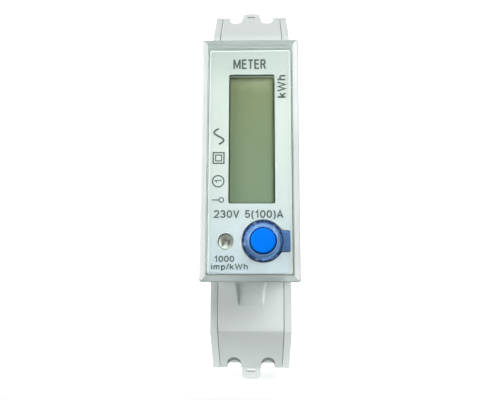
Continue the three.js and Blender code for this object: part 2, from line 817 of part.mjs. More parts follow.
// ---- Terminals: a screw that turns in each cage, and the cage that it draws up ----
const cage = (x, z) => {
  const body = block(
    x - CAGE.width / 2,
    x + CAGE.width / 2,
    CAGE.front,
    CAGE.rear,
    z - CAGE.length / 2,
    z + CAGE.length / 2,
  );
  const windowHole = block(
    x - CAGE.width / 2 + CAGE.wall,
    x + CAGE.width / 2 - CAGE.wall,
    CAGE.front + CAGE.frontWall,
    CAGE.rear - CAGE.rearWall,
    z - CAGE.length,
    z + CAGE.length,
  );
  const thread = rodY(
    x,
    z,
    SCREW.radius + SCREW.clear,
    CAGE.front - THROUGH,
    CAGE.front + CAGE.frontWall + THROUGH,
  );
  return cut(body, windowHole, thread);
};

const headBottom = CAGE.front - CAGE_TRAVEL - SCREW.clear;
const headTop = headBottom - SCREW.headThick;
const terminalScrew = (x, z) => {
  const body = join(
    rodY(x, z, SCREW.headRadius, headTop, headBottom),
    rodY(x, z, SCREW.radius, headBottom - BITE, SCREW.tip),
  );
  const arm = SCREW.headRadius - SCREW.slotInset;
  const slot = (halfX, halfZ) =>
    block(
      x - halfX,
      x + halfX,
      headTop - THROUGH,
      headTop + SCREW.slotDepth,
      z - halfZ,
      z + halfZ,
    );
  return cut(body, slot(arm, SCREW.slotHalf), slot(SCREW.slotHalf, arm));
};

for (const [end, sideZ] of [
  ["upper", 1],
  ["lower", -1],
]) {
  for (const [pole, sideX] of [
    ["line", -1],
    ["neutral", 1],
  ]) {
    const x = sideX * TERMINAL_X;
    const z = sideZ * TERMINAL_Z;
    addPiece(`${pole}_cage_${end}`, cage(x, z), "steel");
    addPiece(`${pole}_screw_${end}`, terminalScrew(x, z), "steel");
  }
}

// ---- Terminal covers ----
const NOTCH = { x: 4, width: 3.2, depth: 2.9, segments: 6 };
const TONGUE = {
  width: 4.4,
  length: 3.9,
  drop: 4.8,
  root: 1.2,
  thick: 1.5,
  chin: 1.5,
  cheek: 0.3,
  slotWidth: 2.1,
  slotLength: 0.9,
  slotStart: 0.5,
};

const coverPlateOutline = (() => {
  const slopeLength = Math.hypot(1, slopeRun);
  const shiftZ = (TERMINAL_COVER_THICK * slopeRun) / slopeLength;
  const shiftY = TERMINAL_COVER_THICK / slopeLength;
  const underY = SHOULDER_Y + TERMINAL_COVER_THICK;
  const underBendZ = SHOULDER_END_Z - shiftZ + (underY - SHOULDER_Y - shiftY) / slopeRun;
  return [
    [coverStartZ, SHOULDER_Y],
    [SHOULDER_END_Z, SHOULDER_Y],
    [END_Z, SLOPE_END_Y],
    [END_Z, SLOPE_END_Y + TERMINAL_COVER_THICK * slopeLength],
    [underBendZ, underY],
    [coverStartZ, underY],
  ];
})();

const notch = (x) => {
  const shape = new THREE.Shape();
  const half = NOTCH.width / 2;
  const arcZ = END_Z - NOTCH.depth + half;
  shape.moveTo(x - half, END_Z + NOTCH.depth);
  shape.lineTo(x - half, arcZ);
  shape.absarc(x, arcZ, half, Math.PI, 2 * Math.PI, false);
  shape.lineTo(x + half, END_Z + NOTCH.depth);
  const reach = 2 * NOTCH.width;
  return frontProfile(shape, SLOPE_END_Y - reach, SLOPE_END_Y + reach, NOTCH.segments);
};

const tongue = () => {
  const rootZ = END_Z - TONGUE.root;
  const rootY = SLOPE_END_Y - TONGUE.root * slopeRun;
  const tipZ = END_Z + TONGUE.length;
  const tipY = SLOPE_END_Y + TONGUE.drop;
  const half = TONGUE.width / 2;
  const strip = sideProfile(
    [
      [rootZ, rootY],
      [tipZ, tipY],
      [tipZ, tipY + TONGUE.thick],
      [rootZ, rootY + TONGUE.thick],
    ],
    -half,
    half,
  );
  const shape = new THREE.Shape();
  shape.moveTo(-half, rootZ - THROUGH);
  shape.lineTo(half, rootZ - THROUGH);
  shape.lineTo(half, tipZ - TONGUE.chin);
  shape.quadraticCurveTo(half - TONGUE.cheek, tipZ, 0, tipZ);
  shape.quadraticCurveTo(-half + TONGUE.cheek, tipZ, -half, tipZ - TONGUE.chin);
  const depth = [rootY - THROUGH, tipY + TONGUE.thick + THROUGH];
  const rounded = strip.intersect(frontProfile(shape, ...depth, NOTCH.segments));
  const slotZ = END_Z + TONGUE.slotStart;
  const slot = block(
    -TONGUE.slotWidth / 2,
    TONGUE.slotWidth / 2,
    ...depth,
    slotZ,
    slotZ + TONGUE.slotLength,
  );
  return cut(rounded, slot);
};

const terminalCover = () => {
  const body = sideProfile(coverPlateOutline, -TERMINAL_COVER_HALF_X, TERMINAL_COVER_HALF_X);
  const pocket = fingerPrism(
    RECESS.wall,
    SHOULDER_Y + BITE,
    recessFloorY + RECESS.wall,
    coverStartZ,
    RECESS.tipZ + RECESS.wall,
  );
  const hollow = fingerPrism(
    0,
    SHOULDER_Y - THROUGH,
    recessFloorY,
    coverStartZ - THROUGH,
    RECESS.tipZ,
  );
  const notched = cut(body, notch(-NOTCH.x), notch(NOTCH.x));
  return join(cut(join(notched, pocket), hollow), tongue());
};
const upperCover = terminalCover();
addPiece("terminal_cover_upper", upperCover, "case");
addPiece("terminal_cover_lower", mirrorZ(upperCover), "case");

// ---- Rail clip ----
const CLIP_TAB = { halfX: 3.2, length: 5, thinFront: 0.4, thinRear: 0.6 };
const CLIP_HOOK = { root: -18.8, tipThick: 1.4 };
const DRIVER_SLOT = { halfX: 2, start: 1.4, length: 1.4 };
const SPRING_SLOT = { x: 2.9, half: 0.4, low: -33, high: -23 };
const railClip = () => {
  const through = [CLIP.y0 - THROUGH, CLIP.y1 + THROUGH];
  const body = block(
    -CLIP.halfX,
    CLIP.halfX,
    CLIP.y0,
    CLIP.y1,
    CLIP.end + CLIP_TAB.length,
    CLIP_HOOK.root + BITE,
  );
  const tab = block(
    -CLIP_TAB.halfX,
    CLIP_TAB.halfX,
    CLIP.y0 + CLIP_TAB.thinFront,
    CLIP.y1 - CLIP_TAB.thinRear,
    CLIP.end,
    CLIP.end + CLIP_TAB.length + BITE,
  );
  const hook = sideProfile(
    [
      [CLIP_HOOK.root, HOOK_GRIP_Y],
      [CLIP.tip, HOOK_GRIP_Y],
      [CLIP.tip, HOOK_GRIP_Y + CLIP_HOOK.tipThick],
      [CLIP_HOOK.root, CLIP.y1],
    ],
    -CLIP.halfX,
    CLIP.halfX,
  );
  const flange = block(
    -CLIP.flangeX,
    CLIP.flangeX,
    CLIP_FLANGE.y0,
    CLIP_FLANGE.y1,
    CLIP_FLANGE.low,
    CLIP_FLANGE.top,
  );
  const slotZ = CLIP.end + DRIVER_SLOT.start;
  const driverSlot = block(
    -DRIVER_SLOT.halfX,
    DRIVER_SLOT.halfX,
    ...through,
    slotZ,
    slotZ + DRIVER_SLOT.length,
  );
  const springSlots = [-1, 1].map((side) =>
    block(
      side * SPRING_SLOT.x - SPRING_SLOT.half,
      side * SPRING_SLOT.x + SPRING_SLOT.half,
      ...through,
      SPRING_SLOT.low,
      SPRING_SLOT.high,
    ),
  );
  return cut(join(body, tab, hook, flange), driverSlot, ...springSlots);
};
addPiece("rail_clip", railClip(), "grey");

export default meter;
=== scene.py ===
"""One-module DIN rail electricity meter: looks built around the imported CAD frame."""

import math

import bmesh
import bpy
from mathutils import Matrix, Vector


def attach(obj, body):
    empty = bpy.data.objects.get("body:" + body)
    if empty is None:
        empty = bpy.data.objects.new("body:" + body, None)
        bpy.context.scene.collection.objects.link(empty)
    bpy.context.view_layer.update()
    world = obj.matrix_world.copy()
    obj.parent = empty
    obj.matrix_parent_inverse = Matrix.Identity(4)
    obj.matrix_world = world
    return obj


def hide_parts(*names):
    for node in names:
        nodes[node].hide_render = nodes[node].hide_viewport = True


MM = 0.001

# ---- Camera and view: the place in millimetres, its turn in radians ----
scene = bpy.context.scene
CAMERA_AT = Vector((0.8947, -140.0611, -18.2748)) * MM
CAMERA_TURN = (-0.128298, -0.0242542, 0.00028255)
LENS = 33.197
camera = bpy.data.objects.new("camera", bpy.data.cameras.new("camera"))
scene.collection.objects.link(camera)
turn = (
    Matrix.Rotation(CAMERA_TURN[2], 3, "Z")
    @ Matrix.Rotation(CAMERA_TURN[1], 3, "Y")
    @ Matrix.Rotation(CAMERA_TURN[0], 3, "X")
)
stand = Matrix(((1, 0, 0), (0, 0, -1), (0, 1, 0)))
camera.matrix_world = Matrix.Translation(CAMERA_AT) @ (stand @ turn.transposed()).to_4x4()
camera.data.lens = LENS
camera.data.sensor_width = 36
camera.data.clip_start = 0.005
camera.data.clip_end = 20
scene.camera = camera
scene.view_settings.view_transform = "Standard"

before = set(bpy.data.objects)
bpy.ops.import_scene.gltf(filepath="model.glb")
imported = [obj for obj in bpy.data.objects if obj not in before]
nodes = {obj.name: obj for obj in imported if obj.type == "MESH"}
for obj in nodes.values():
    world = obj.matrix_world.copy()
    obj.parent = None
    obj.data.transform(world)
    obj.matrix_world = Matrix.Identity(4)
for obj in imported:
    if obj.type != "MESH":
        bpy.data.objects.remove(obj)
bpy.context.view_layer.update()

# ---- Dimensions shared with the CAD, in millimetres ----
FRONT_Y = -60.0
COVER_REAR_Y = -41.0
HALF_WIDTH = 9.0
HALF_NOSE = 22.5
WALL = 1.0
PANE = 1.2
WINDOW = (0.32, 3.92, 8.6, 24.6)
WINDOW_ROUND = 0.4
BUTTON = (2.35, -15.2)
BUTTON_RADIUS = 2.2
BEZEL_RADIUS = 3.75
LED = (-4.43, -15.3)
LED_RADIUS = 1.38
CUP_FLOOR = -56.1
CUP_REAR = -53.3
PANEL_FRONT = -57.9
PANEL_REAR = -56.7
LABEL_FRONT = -58.2
LCD_FRONT = -56.4
SHOULDER_Y = -38.2
BEND_Z = 34.3
END_Z = 44.0
COVER_HALF_X = 7.3
COVER_TOP_Z = 22.8
COVER_THICK = 1.2
NOTCH_X = 4
NOTCH_HALF = 1.6
NOTCH_DEPTH = 2.9
TONGUE_HALF = 2.2
TONGUE_Y = -24.6
TONGUE_OVERLAP = 1.2
TIP_Z = 47.9
RECESS_ROOT = 3.6
RECESS_TIP = 2.7
RECESS_Z = 28.6
END_Y = -29.4
SLOPE = (END_Y - SHOULDER_Y) / (END_Z - BEND_Z)  # how far the cover falls back per height


# ---- Materials ----
def srgb(r, g, b):
    """Linear colour from 0-255 screen values."""
    out = []
    for v in (r, g, b):
        v /= 255
        out.append(v / 12.92 if v <= 0.04045 else ((v + 0.055) / 1.055) ** 2.4)
    return (*out, 1.0)


def scaled(colour, k):
    return (*(min(1, v * k) for v in colour[:3]), 1.0)


class Surface:
    """A procedural material on one Principled shader."""

    def __init__(self, name):
        self.material = bpy.data.materials.new(name)
        self.material.use_nodes = True
        self.tree = self.material.node_tree
        self.shader = self.tree.nodes["Principled BSDF"]
        self.output = self.tree.nodes["Material Output"]
        self.place = self.tree.nodes.new("ShaderNodeTexCoord").outputs["Object"]

    def node(self, kind, **values):
        made = self.tree.nodes.new(kind)
        for key, value in values.items():
            if key in made.inputs:
                made.inputs[key].default_value = value
            else:
                setattr(made, key, value)
        return made

    def link(self, a, b):
        self.tree.links.new(a, b)

    def stretch(self, scale):
        mapping = self.node("ShaderNodeMapping")
        mapping.inputs["Scale"].default_value = scale
        self.link(self.place, mapping.inputs["Vector"])
        return mapping.outputs["Vector"]

    def noise(self, scale, detail=3.0, roughness=0.55, stretch=None):
        made = self.node("ShaderNodeTexNoise", Scale=scale, Detail=detail, Roughness=roughness)
        self.link(self.stretch(stretch) if stretch else self.place, made.inputs["Vector"])
        return made.outputs["Fac"]

    def ramp(self, fac, stops):
        made = self.node("ShaderNodeValToRGB")
        points = made.color_ramp.elements
        while len(points) < len(stops):
            points.new(0.5)
        for point, (at, colour) in zip(points, stops):
            point.position = at
            point.color = colour
        self.link(fac, made.inputs["Fac"])
        return made.outputs["Color"]

    def spread(self, fac, low, high, start=0.3, end=0.7):
        made = self.node("ShaderNodeMapRange")
        made.inputs["From Min"].default_value = start
        made.inputs["From Max"].default_value = end
        made.inputs["To Min"].default_value = low
        made.inputs["To Max"].default_value = high
        self.link(fac, made.inputs["Value"])
        return made.outputs["Result"]

    def bump(self, height, strength, distance):
        made = self.node("ShaderNodeBump", Strength=strength, Distance=distance)
        self.link(height, made.inputs["Height"])
        return made.outputs["Normal"]

    def set(self, **values):
        for key, value in values.items():
            self.shader.inputs[key.replace("_", " ")].default_value = value
        return self


def moulded(name, colour, rough=0.4, grain=0.12, tint=0.03, specular=0.4, coat=0.0):
    """Moulded plastic: slow tone changes, fine grain in the gloss and the surface."""
    s = Surface(name)
    slow = s.noise(70, 2)
    s.link(
        s.ramp(slow, [(0.3, scaled(colour, 1 - tint)), (0.7, scaled(colour, 1 + tint))]),
        s.shader.inputs["Base Color"],
    )
    fine = s.noise(5200, 2)
    s.link(s.spread(fine, rough - 0.06, rough + 0.06), s.shader.inputs["Roughness"])
    s.link(s.bump(fine, grain, 0.00004), s.shader.inputs["Normal"])
    s.set(Specular_IOR_Level=specular)
    if coat:
        s.set(Coat_Weight=coat, Coat_Roughness=0.08)
    return s.material


def metal(name, colour, rough=0.3, lines=(1, 1, 1), dull=0.08):
    """Drawn or plated metal with fine lines along one axis."""
    s = Surface(name)
    streak = s.noise(1400, 3, stretch=lines)
    cloud = s.noise(160, 3)
    s.link(
        s.ramp(cloud, [(0.3, scaled(colour, 1 - dull)), (0.7, scaled(colour, 1 + dull))]),
        s.shader.inputs["Base Color"],
    )
    s.link(s.spread(streak, rough - 0.08, rough + 0.1), s.shader.inputs["Roughness"])
    s.link(s.bump(streak, 0.15, 0.00003), s.shader.inputs["Normal"])
    return s.set(Metallic=1.0).material


def let_light_through(s):
    """Light reaches what lies behind this clear surface."""
    clear = s.node("ShaderNodeBsdfTransparent")
    path = s.node("ShaderNodeLightPath")
    mix = s.node("ShaderNodeMixShader")
    s.link(path.outputs["Is Shadow Ray"], mix.inputs[0])
    s.link(s.shader.outputs["BSDF"], mix.inputs[1])
    s.link(clear.outputs["BSDF"], mix.inputs[2])
    s.link(mix.outputs["Shader"], s.output.inputs["Surface"])


def clear_plastic(name, low, high, ior=1.3, clarity=1.0, rough=0.03):
    """Clear moulded plastic, with a faint uneven tint."""
    s = Surface(name)
    slow = s.noise(90, 2)
    s.link(s.ramp(slow, [(0.3, low), (0.7, high)]), s.shader.inputs["Base Color"])
    s.link(s.bump(s.noise(420, 2), 0.02, 0.00004), s.shader.inputs["Normal"])
    s.set(Transmission_Weight=clarity, IOR=ior, Roughness=rough)
    let_light_through(s)
    return s.material


def label_paper():
    """Printed film, with painted shade that makes it a touch greyer towards its top and bottom."""
    s = Surface("label_print_base")
    fine = s.noise(2600, 2)
    split = s.node("ShaderNodeSeparateXYZ")
    s.link(s.place, split.inputs[0])
    height = s.node("ShaderNodeMath", operation="MULTIPLY_ADD")
    s.link(s.noise(60, 2), height.inputs[0])
    height.inputs[1].default_value = 0.008
    s.link(split.outputs["Z"], height.inputs[2])
    # the greyer stops at both ends of the height are painted shade
    stops = [
        (0.0, srgb(163, 175, 181)),
        (0.3, srgb(171, 181, 181)),
        (0.55, srgb(179, 187, 182)),
        (0.8, srgb(177, 185, 179)),
        (1.0, srgb(164, 173, 168)),
    ]
    s.link(s.ramp(s.spread(height.outputs[0], 0, 1, -0.018, 0.024), stops), s.shader.inputs["Base Color"])
    s.link(s.spread(fine, 0.4, 0.52), s.shader.inputs["Roughness"])
    s.link(s.bump(fine, 0.05, 0.00003), s.shader.inputs["Normal"])
    return s.set(Specular_IOR_Level=0.2).material


def display_face():
    """Liquid crystal cell: olive, greener below, browner towards the top, and lighter at the very top with
    painted light against the shade of the window's edge.
    """
    s = Surface("display_cell")
    split = s.node("ShaderNodeSeparateXYZ")
    s.link(s.place, split.inputs[0])
    height = s.spread(split.outputs["Z"], 0, 1, -0.0099, 0.0176)  # up the glass, in metres
    cloud = s.noise(140, 3)
    wander = s.node("ShaderNodeMath", operation="MULTIPLY_ADD")
    s.link(cloud, wander.inputs[0])
    wander.inputs[1].default_value = 0.5
    s.link(height, wander.inputs[2])
    stops = [
        (0.1, srgb(104, 122, 99)),
        (0.65, srgb(108, 123, 96)),
        (1.05, srgb(112, 122, 90)),
        # the two lightest stops at the top are painted light over the shade of the window's edge
        (1.2, srgb(132, 140, 110)),
        (1.38, srgb(158, 168, 142)),
    ]
    s.link(
        s.ramp(s.spread(wander.outputs[0], 0, 1, 0.1, 1.4), [(p / 1.4, c) for p, c in stops]),
        s.shader.inputs["Base Color"],
    )
    s.link(s.spread(s.noise(900, 2), 0.1, 0.22), s.shader.inputs["Roughness"])
    return s.set(Specular_IOR_Level=0.3, Coat_Weight=0.12, Coat_Roughness=0.2).material


def window_rim_painted_look():
    """Olive rim of the window: partly painted shade of the window's edge, and lighter along its top with
    painted light.
    """
    s = Surface("window_rim_painted_shade_and_light")
    split = s.node("ShaderNodeSeparateXYZ")
    s.link(s.place, split.inputs[0])
    height = s.spread(split.outputs["Z"], 0, 1, 0.0145, 0.0162)  # the window's top, in metres
    # the olive stop is partly painted shade; the light stop along the window's top is painted light
    stops = [(0.0, srgb(124, 138, 116)), (1.0, srgb(212, 222, 204))]
    s.link(s.ramp(height, stops), s.shader.inputs["Base Color"])
    s.link(s.spread(s.noise(1800, 2), 0.5, 0.7), s.shader.inputs["Roughness"])
    return s.set(Specular_IOR_Level=0.2).material


def bezel_blue():
    """Tinted see-through plastic: painted shade darkens its outer rim, pale streaks of painted highlight lie
    across it, and flow lines roughen its gloss and surface.
    """
    s = Surface("bezel_tint")
    shift = s.node("ShaderNodeMapping")
    shift.inputs["Location"].default_value = (-BUTTON[0] * MM, 0, -BUTTON[1] * MM)
    s.link(s.place, shift.inputs["Vector"])
    flat = s.node("ShaderNodeVectorMath", operation="MULTIPLY")
    s.link(shift.outputs["Vector"], flat.inputs[0])
    flat.inputs[1].default_value = (1, 0, 1)
    reach = s.node("ShaderNodeVectorMath", operation="LENGTH")
    s.link(flat.outputs[0], reach.inputs[0])
    flow = s.noise(900, 4, stretch=(1, 0.2, 1))
    bent = s.node("ShaderNodeMath", operation="MULTIPLY_ADD")
    s.link(flow, bent.inputs[0])
    bent.inputs[1].default_value = 0.0005
    s.link(reach.outputs["Value"], bent.inputs[2])
    tone = s.spread(bent.outputs[0], 0, 1, 0.0024, 0.0039)  # across the ring, in metres
    # the dark stops at the outer rim are painted shade of the gap round the bezel
    stops = [
        (0.1, srgb(40, 98, 184)),
        (0.3, srgb(84, 128, 182)),
        (0.52, srgb(98, 134, 172)),
        (0.72, srgb(96, 134, 178)),
        (0.84, srgb(56, 88, 142)),
        (0.94, srgb(18, 38, 82)),
    ]
    # pale streaks mixed into the colour are painted highlights
    highlight_streaks = s.noise(1500, 3, stretch=(1, 0.1, 1))
    highlight_veil = s.node("ShaderNodeMix", data_type="RGBA")
    s.link(s.spread(highlight_streaks, 0, 0.55, 0.54, 0.68), highlight_veil.inputs[0])
    s.link(s.ramp(tone, stops), highlight_veil.inputs[6])
    highlight_veil.inputs[7].default_value = srgb(160, 182, 208)
    s.link(highlight_veil.outputs[2], s.shader.inputs["Base Color"])
    s.link(s.spread(flow, 0.12, 0.3), s.shader.inputs["Roughness"])
    s.link(s.bump(flow, 0.3, 0.00006), s.shader.inputs["Normal"])
    return s.set(Specular_IOR_Level=0.2, Coat_Weight=0.08, Coat_Roughness=0.05).material


def circuit_board():
    """Green solder mask over a woven laminate, with faint copper lines under it."""
    s = Surface("solder_mask")
    lines = s.node("ShaderNodeTexBrick", Scale=160.0)
    lines.inputs["Color1"].default_value = srgb(20, 92, 52)
    lines.inputs["Color2"].default_value = srgb(24, 104, 58)
    lines.inputs["Mortar"].default_value = srgb(46, 134, 78)
    lines.inputs["Mortar Size"].default_value = 0.035
    turn_up = s.node("ShaderNodeCombineXYZ")
    split = s.node("ShaderNodeSeparateXYZ")
    s.link(s.place, split.inputs[0])
    s.link(split.outputs["Y"], turn_up.inputs[0])
    s.link(split.outputs["Z"], turn_up.inputs[1])
    s.link(turn_up.outputs[0], lines.inputs["Vector"])
    s.link(lines.outputs["Color"], s.shader.inputs["Base Color"])
    s.link(s.spread(s.noise(2500, 2), 0.3, 0.5), s.shader.inputs["Roughness"])
    s.link(s.bump(lines.outputs["Fac"], 0.2, 0.00003), s.shader.inputs["Normal"])
    return s.material


CASE_WHITE = srgb(206, 212, 209)
MATERIALS = {
    "case": moulded("case_plastic_look", CASE_WHITE, rough=0.42, specular=0.35),
    "cover": moulded("terminal_cover_look", CASE_WHITE, rough=0.4, specular=0.35),
    # dark grey of the entry plates: painted shade inside the cable entries
    "shade": moulded("entry_shade_plate_look", srgb(128, 133, 130), rough=0.5, specular=0.2),
    # darker tone for the lower cover's downward slope: painted shade, with a rougher gloss
    "cover_slope_shade": moulded("slope_painted_shade_look", srgb(192, 198, 195), rough=0.55, grain=0.2, specular=0.25),
    "cover_thin": moulded("thin_plastic_look", srgb(209, 213, 211), rough=0.4, specular=0.35),
    "clear": clear_plastic("clear_cover_look", (0.93, 0.965, 0.95, 1), (0.98, 0.995, 0.985, 1)),
    "panel": moulded("panel_look", srgb(214, 219, 216), rough=0.4),
    "clear_wall": clear_plastic(
        "clear_wall_look", (0.58, 0.64, 0.62, 1), (0.68, 0.74, 0.72, 1), 1.3, 0.6, 0.12
    ),
    "clear_rim": clear_plastic(
        "clear_rim_look", (0.76, 0.8, 0.79, 1), (0.86, 0.89, 0.88, 1), 1.3, 0.25, 0.15
    ),
    # darker tint for the walls' inner side faces: painted shade of the gap beside the nose
    "clear_inside_shade": clear_plastic(
        "clear_inside_look", (0.34, 0.39, 0.37, 1), (0.46, 0.51, 0.49, 1), 1.3, 0.5, 0.2
    ),
    "label": label_paper(),
    "ink": moulded("print_ink", srgb(72, 84, 79), rough=0.5, tint=0.1, specular=0.2),
    "display": display_face(),
    "rim_shade_and_light": window_rim_painted_look(),
    "button": moulded("button_blue", srgb(0, 119, 240), rough=0.5, grain=0.05, tint=0.02, specular=0.04),
    "bezel": bezel_blue(),
    "lug": moulded("lug_tint", srgb(65, 102, 150), rough=0.3, tint=0.12, specular=0.4),
    "led": clear_plastic("led_epoxy", (0.88, 0.88, 0.82, 1), (0.95, 0.95, 0.9, 1), 1.15),
    "cup": moulded("led_cup_look", srgb(246, 250, 244), rough=0.35, tint=0.05),
    "lead": metal("lead_frame", (0.3, 0.3, 0.27, 1), 0.45),
    "zinc": metal("zinc_plate", (0.66, 0.67, 0.68, 1), 0.36),
    "nickel": metal("nickel_plate", (0.74, 0.73, 0.7, 1), 0.26, (1, 0.1, 1)),
    "brass": metal("brass_strip", (0.78, 0.6, 0.3, 1), 0.32, (1, 1, 0.05)),
    "copper": metal("copper_strip", (0.75, 0.42, 0.27, 1), 0.32, (1, 1, 0.05)),
    "shunt": metal("manganin_strip", (0.46, 0.37, 0.3, 1), 0.42, (1, 1, 0.05)),
    "can": metal("crystal_can_look", (0.78, 0.78, 0.76, 1), 0.2),
    "board": circuit_board(),
    "black": moulded("black_mould", srgb(36, 37, 40), rough=0.48, tint=0.12),
    "switch": moulded("switch_mould", srgb(70, 74, 78), rough=0.5, tint=0.08),
    "film": moulded("film_box_look", srgb(214, 176, 40), rough=0.4, tint=0.05),
    "sleeve": moulded("sleeve_look", srgb(30, 38, 80), rough=0.3, tint=0.1, coat=0.3),
    "varistor": moulded("varistor_look", srgb(30, 70, 150), rough=0.34, tint=0.08, coat=0.4),
    "resistor": moulded("resistor_look", srgb(128, 150, 148), rough=0.55, tint=0.06),
    "rubber": moulded("contact_rubber_look", srgb(44, 44, 46), rough=0.7, tint=0.15, grain=0.3),
    "clip": moulded("clip_look", srgb(74, 79, 82), rough=0.45, tint=0.06),
}


# ---- Mesh helpers ----
SUPPORT = 0.12  # width of the flat strip next to a rounded edge
FLAT_WITHIN = 0.6  # degrees between faces that count as one flat face


def rounded(x, z, width, height, radius, steps=8):
    """Outline of a rounded rectangle, as a function of how far it is inset."""

    def at(inset):
        w, h = width / 2 - inset, height / 2 - inset
        r = max(radius - inset, 0.02)
        points = []
        corners = ((w - r, h - r, 0), (r - w, h - r, 90), (r - w, r - h, 180), (w - r, r - h, 270))
        for cx, cz, start in corners:
            for i in range(steps + 1):
                a = math.radians(start + 90 * i / steps)
                points.append((x + cx + r * math.cos(a), z + cz + r * math.sin(a)))
        return points

    return at


def circle(x, z, radius, steps=64):
    def at(inset):
        r = radius - inset
        turns = (2 * math.pi * i / steps for i in range(steps))
        return [(x + r * math.cos(a), z + r * math.sin(a)) for a in turns]

    return at


def fixed_outline(points):
    return lambda inset: points


def loft(bm, rings):
    """Quads between rings of the same number of points. Gives back the rings' vertices."""
    made = [[bm.verts.new(Vector(p) * MM) for p in ring] for ring in rings]
    for low, high in zip(made, made[1:]):
        for i in range(len(low)):
            j = (i + 1) % len(low)
            bm.faces.new((low[i], low[j], high[j], high[i]))
    return made


def cap(bm, loops):
    """Fills between closed loops of vertices that lie in one plane."""
    edges = []
    for loop in loops:
        for i in range(len(loop)):
            a, b = loop[i], loop[(i + 1) % len(loop)]
            edges.append(bm.edges.get((a, b)) or bm.edges.new((a, b)))
    bmesh.ops.triangle_fill(bm, use_beauty=True, use_dissolve=False, edges=edges)


def edge_steps(y0, y1, edge, steps):
    """(y, inset) pairs from the front to the rear, round at both edges."""
    if not edge:
        return [(y0, 0), (y1, 0)]
    out = []
    for i in range(steps + 1):
        a = math.pi / 2 * i / steps
        out.append((y0 + edge * (1 - math.sin(a)), edge * (1 - math.cos(a))))
    out.append((y0, edge + SUPPORT))
    front = [(y, inset) for y, inset in reversed(out)]
    rear = [(y0 + y1 - y, inset) for y, inset in out]
    return front + rear


def slab(bm, outer, holes, y0, y1, edge=0.1, steps=3):
    """A plate in the plane of the front, with holes and rounded edges."""
    profile = edge_steps(y0, y1, edge, steps)
    ends = []
    for sign, outline in [(1, outer)] + [(-1, h) for h in holes]:
        rings = [[(x, y, z) for x, z in outline(sign * inset)] for y, inset in profile]
        made = loft(bm, rings)
        ends.append((made[0], made[-1]))
    cap(bm, [e[0] for e in ends])
    cap(bm, [e[1] for e in ends])


def spun(bm, axis, centre, profile, steps=64):
    """A turned piece from (radius, along) pairs, solid where the radius is 0.

    A profile that ends where it starts makes a ring.
    """
    rings = []
    for radius, along in profile:
        ring = []
        for i in range(steps):
            a = 2 * math.pi * i / steps
            u, v = max(radius, 1e-4) * math.cos(a), max(radius, 1e-4) * math.sin(a)
            if axis == "Y":
                ring.append((centre[0] + u, along, centre[1] + v))
            elif axis == "X":
                ring.append((along, centre[0] + u, centre[1] + v))
            else:
                ring.append((centre[0] + u, centre[1] + v, along))
        rings.append(ring)
    made = loft(bm, rings)
    if profile[0] != profile[-1]:
        bm.faces.new(made[0])
        bm.faces.new(made[-1])
    else:
        bmesh.ops.remove_doubles(bm, verts=bm.verts, dist=1e-9)


def brick(bm, x0, x1, y0, y1, z0, z1):
    made = bmesh.ops.create_cube(bm, size=1)["verts"]
    size = Vector((x1 - x0, y1 - y0, z1 - z0)) * MM
    middle = Vector((x1 + x0, y1 + y0, z1 + z0)) * MM / 2
    for v in made:
        v.co = Vector(a * b for a, b in zip(v.co, size)) + middle


def piece(name, bm, body, material, replaced, sharp=35):
    """An object of the mesh that rides on a body and stands for the replaced CAD nodes."""
    bmesh.ops.recalc_face_normals(bm, faces=bm.faces)
    mesh = bpy.data.meshes.new(name)
    bm.to_mesh(mesh)
    bm.free()
    mesh.shade_smooth()
    mesh.set_sharp_from_angle(angle=math.radians(sharp))
    obj = bpy.data.objects.new(name, mesh)
    scene.collection.objects.link(obj)
    mesh.materials.append(MATERIALS[material])
    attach(obj, body)
    if replaced:
        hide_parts(*replaced)
    return obj


def rounded_edges(obj, width, segments, angle):
    made = obj.modifiers.new("rounded_edges", "BEVEL")
    made.width = width * MM
    made.segments = segments
    made.limit_method = "ANGLE"
    made.angle_limit = math.radians(angle)
    made.use_clamp_overlap = True
    made.harden_normals = True


def refined(node, body, material, width=0.15, segments=2, angle=30):
    """A CAD solid's own shape with its flat faces merged and its edges rounded."""
    bm = bmesh.new()
    bm.from_mesh(nodes[node].data)
    bmesh.ops.remove_doubles(bm, verts=bm.verts, dist=2e-6)
    bmesh.ops.dissolve_limit(
        bm,
        angle_limit=math.radians(FLAT_WITHIN),
        verts=bm.verts,
        edges=bm.edges,
        use_dissolve_boundaries=False,
    )
    obj = piece(node + "_look", bm, body, material, [node], sharp=40)
    rounded_edges(obj, width, segments, angle)


# ---- Case ----
for side in ("left", "right"):
    refined("case_" + side, "meter_case", "case", 0.22, 2, 35)

half_rivet = [
    (0.7, 7.6),
    (0.75, 8.2),
    (1.0, 8.55),
    (1.3, 8.78),
    (1.75, 8.9),
    (2.1, 8.84),
    (2.28, 8.62),
    (2.3, 8.35),
    (2.2, 8.2),
    (1.3, 8.2),
]
rivet_profile = half_rivet + [(r, -x) for r, x in reversed(half_rivet)] + [half_rivet[0]]
for place, y, z in (
    ("upper_inner", -12, 23.6),
    ("lower_inner", -12, -23.6),
    ("upper_outer", -7.5, 38.6),
    ("lower_outer", -7.5, -38.6),
):
    bm = bmesh.new()
    spun(bm, "X", (y, z), rivet_profile, 40)
    piece("rivet_" + place, bm, "meter_case", "zinc", ["case_rivet_" + place], 50)


# ---- Terminal covers ----
def cover_front(z):
    """Y of the cover's front face at a height, with a soft bend where the slope starts."""
    soft = 0.9  # half the height over which the face turns
    d = z - BEND_Z
    if d <= -soft:
        return SHOULDER_Y
    if d >= soft:
        return SHOULDER_Y + SLOPE * d
    return SHOULDER_Y + SLOPE * (d + soft) ** 2 / (4 * soft)


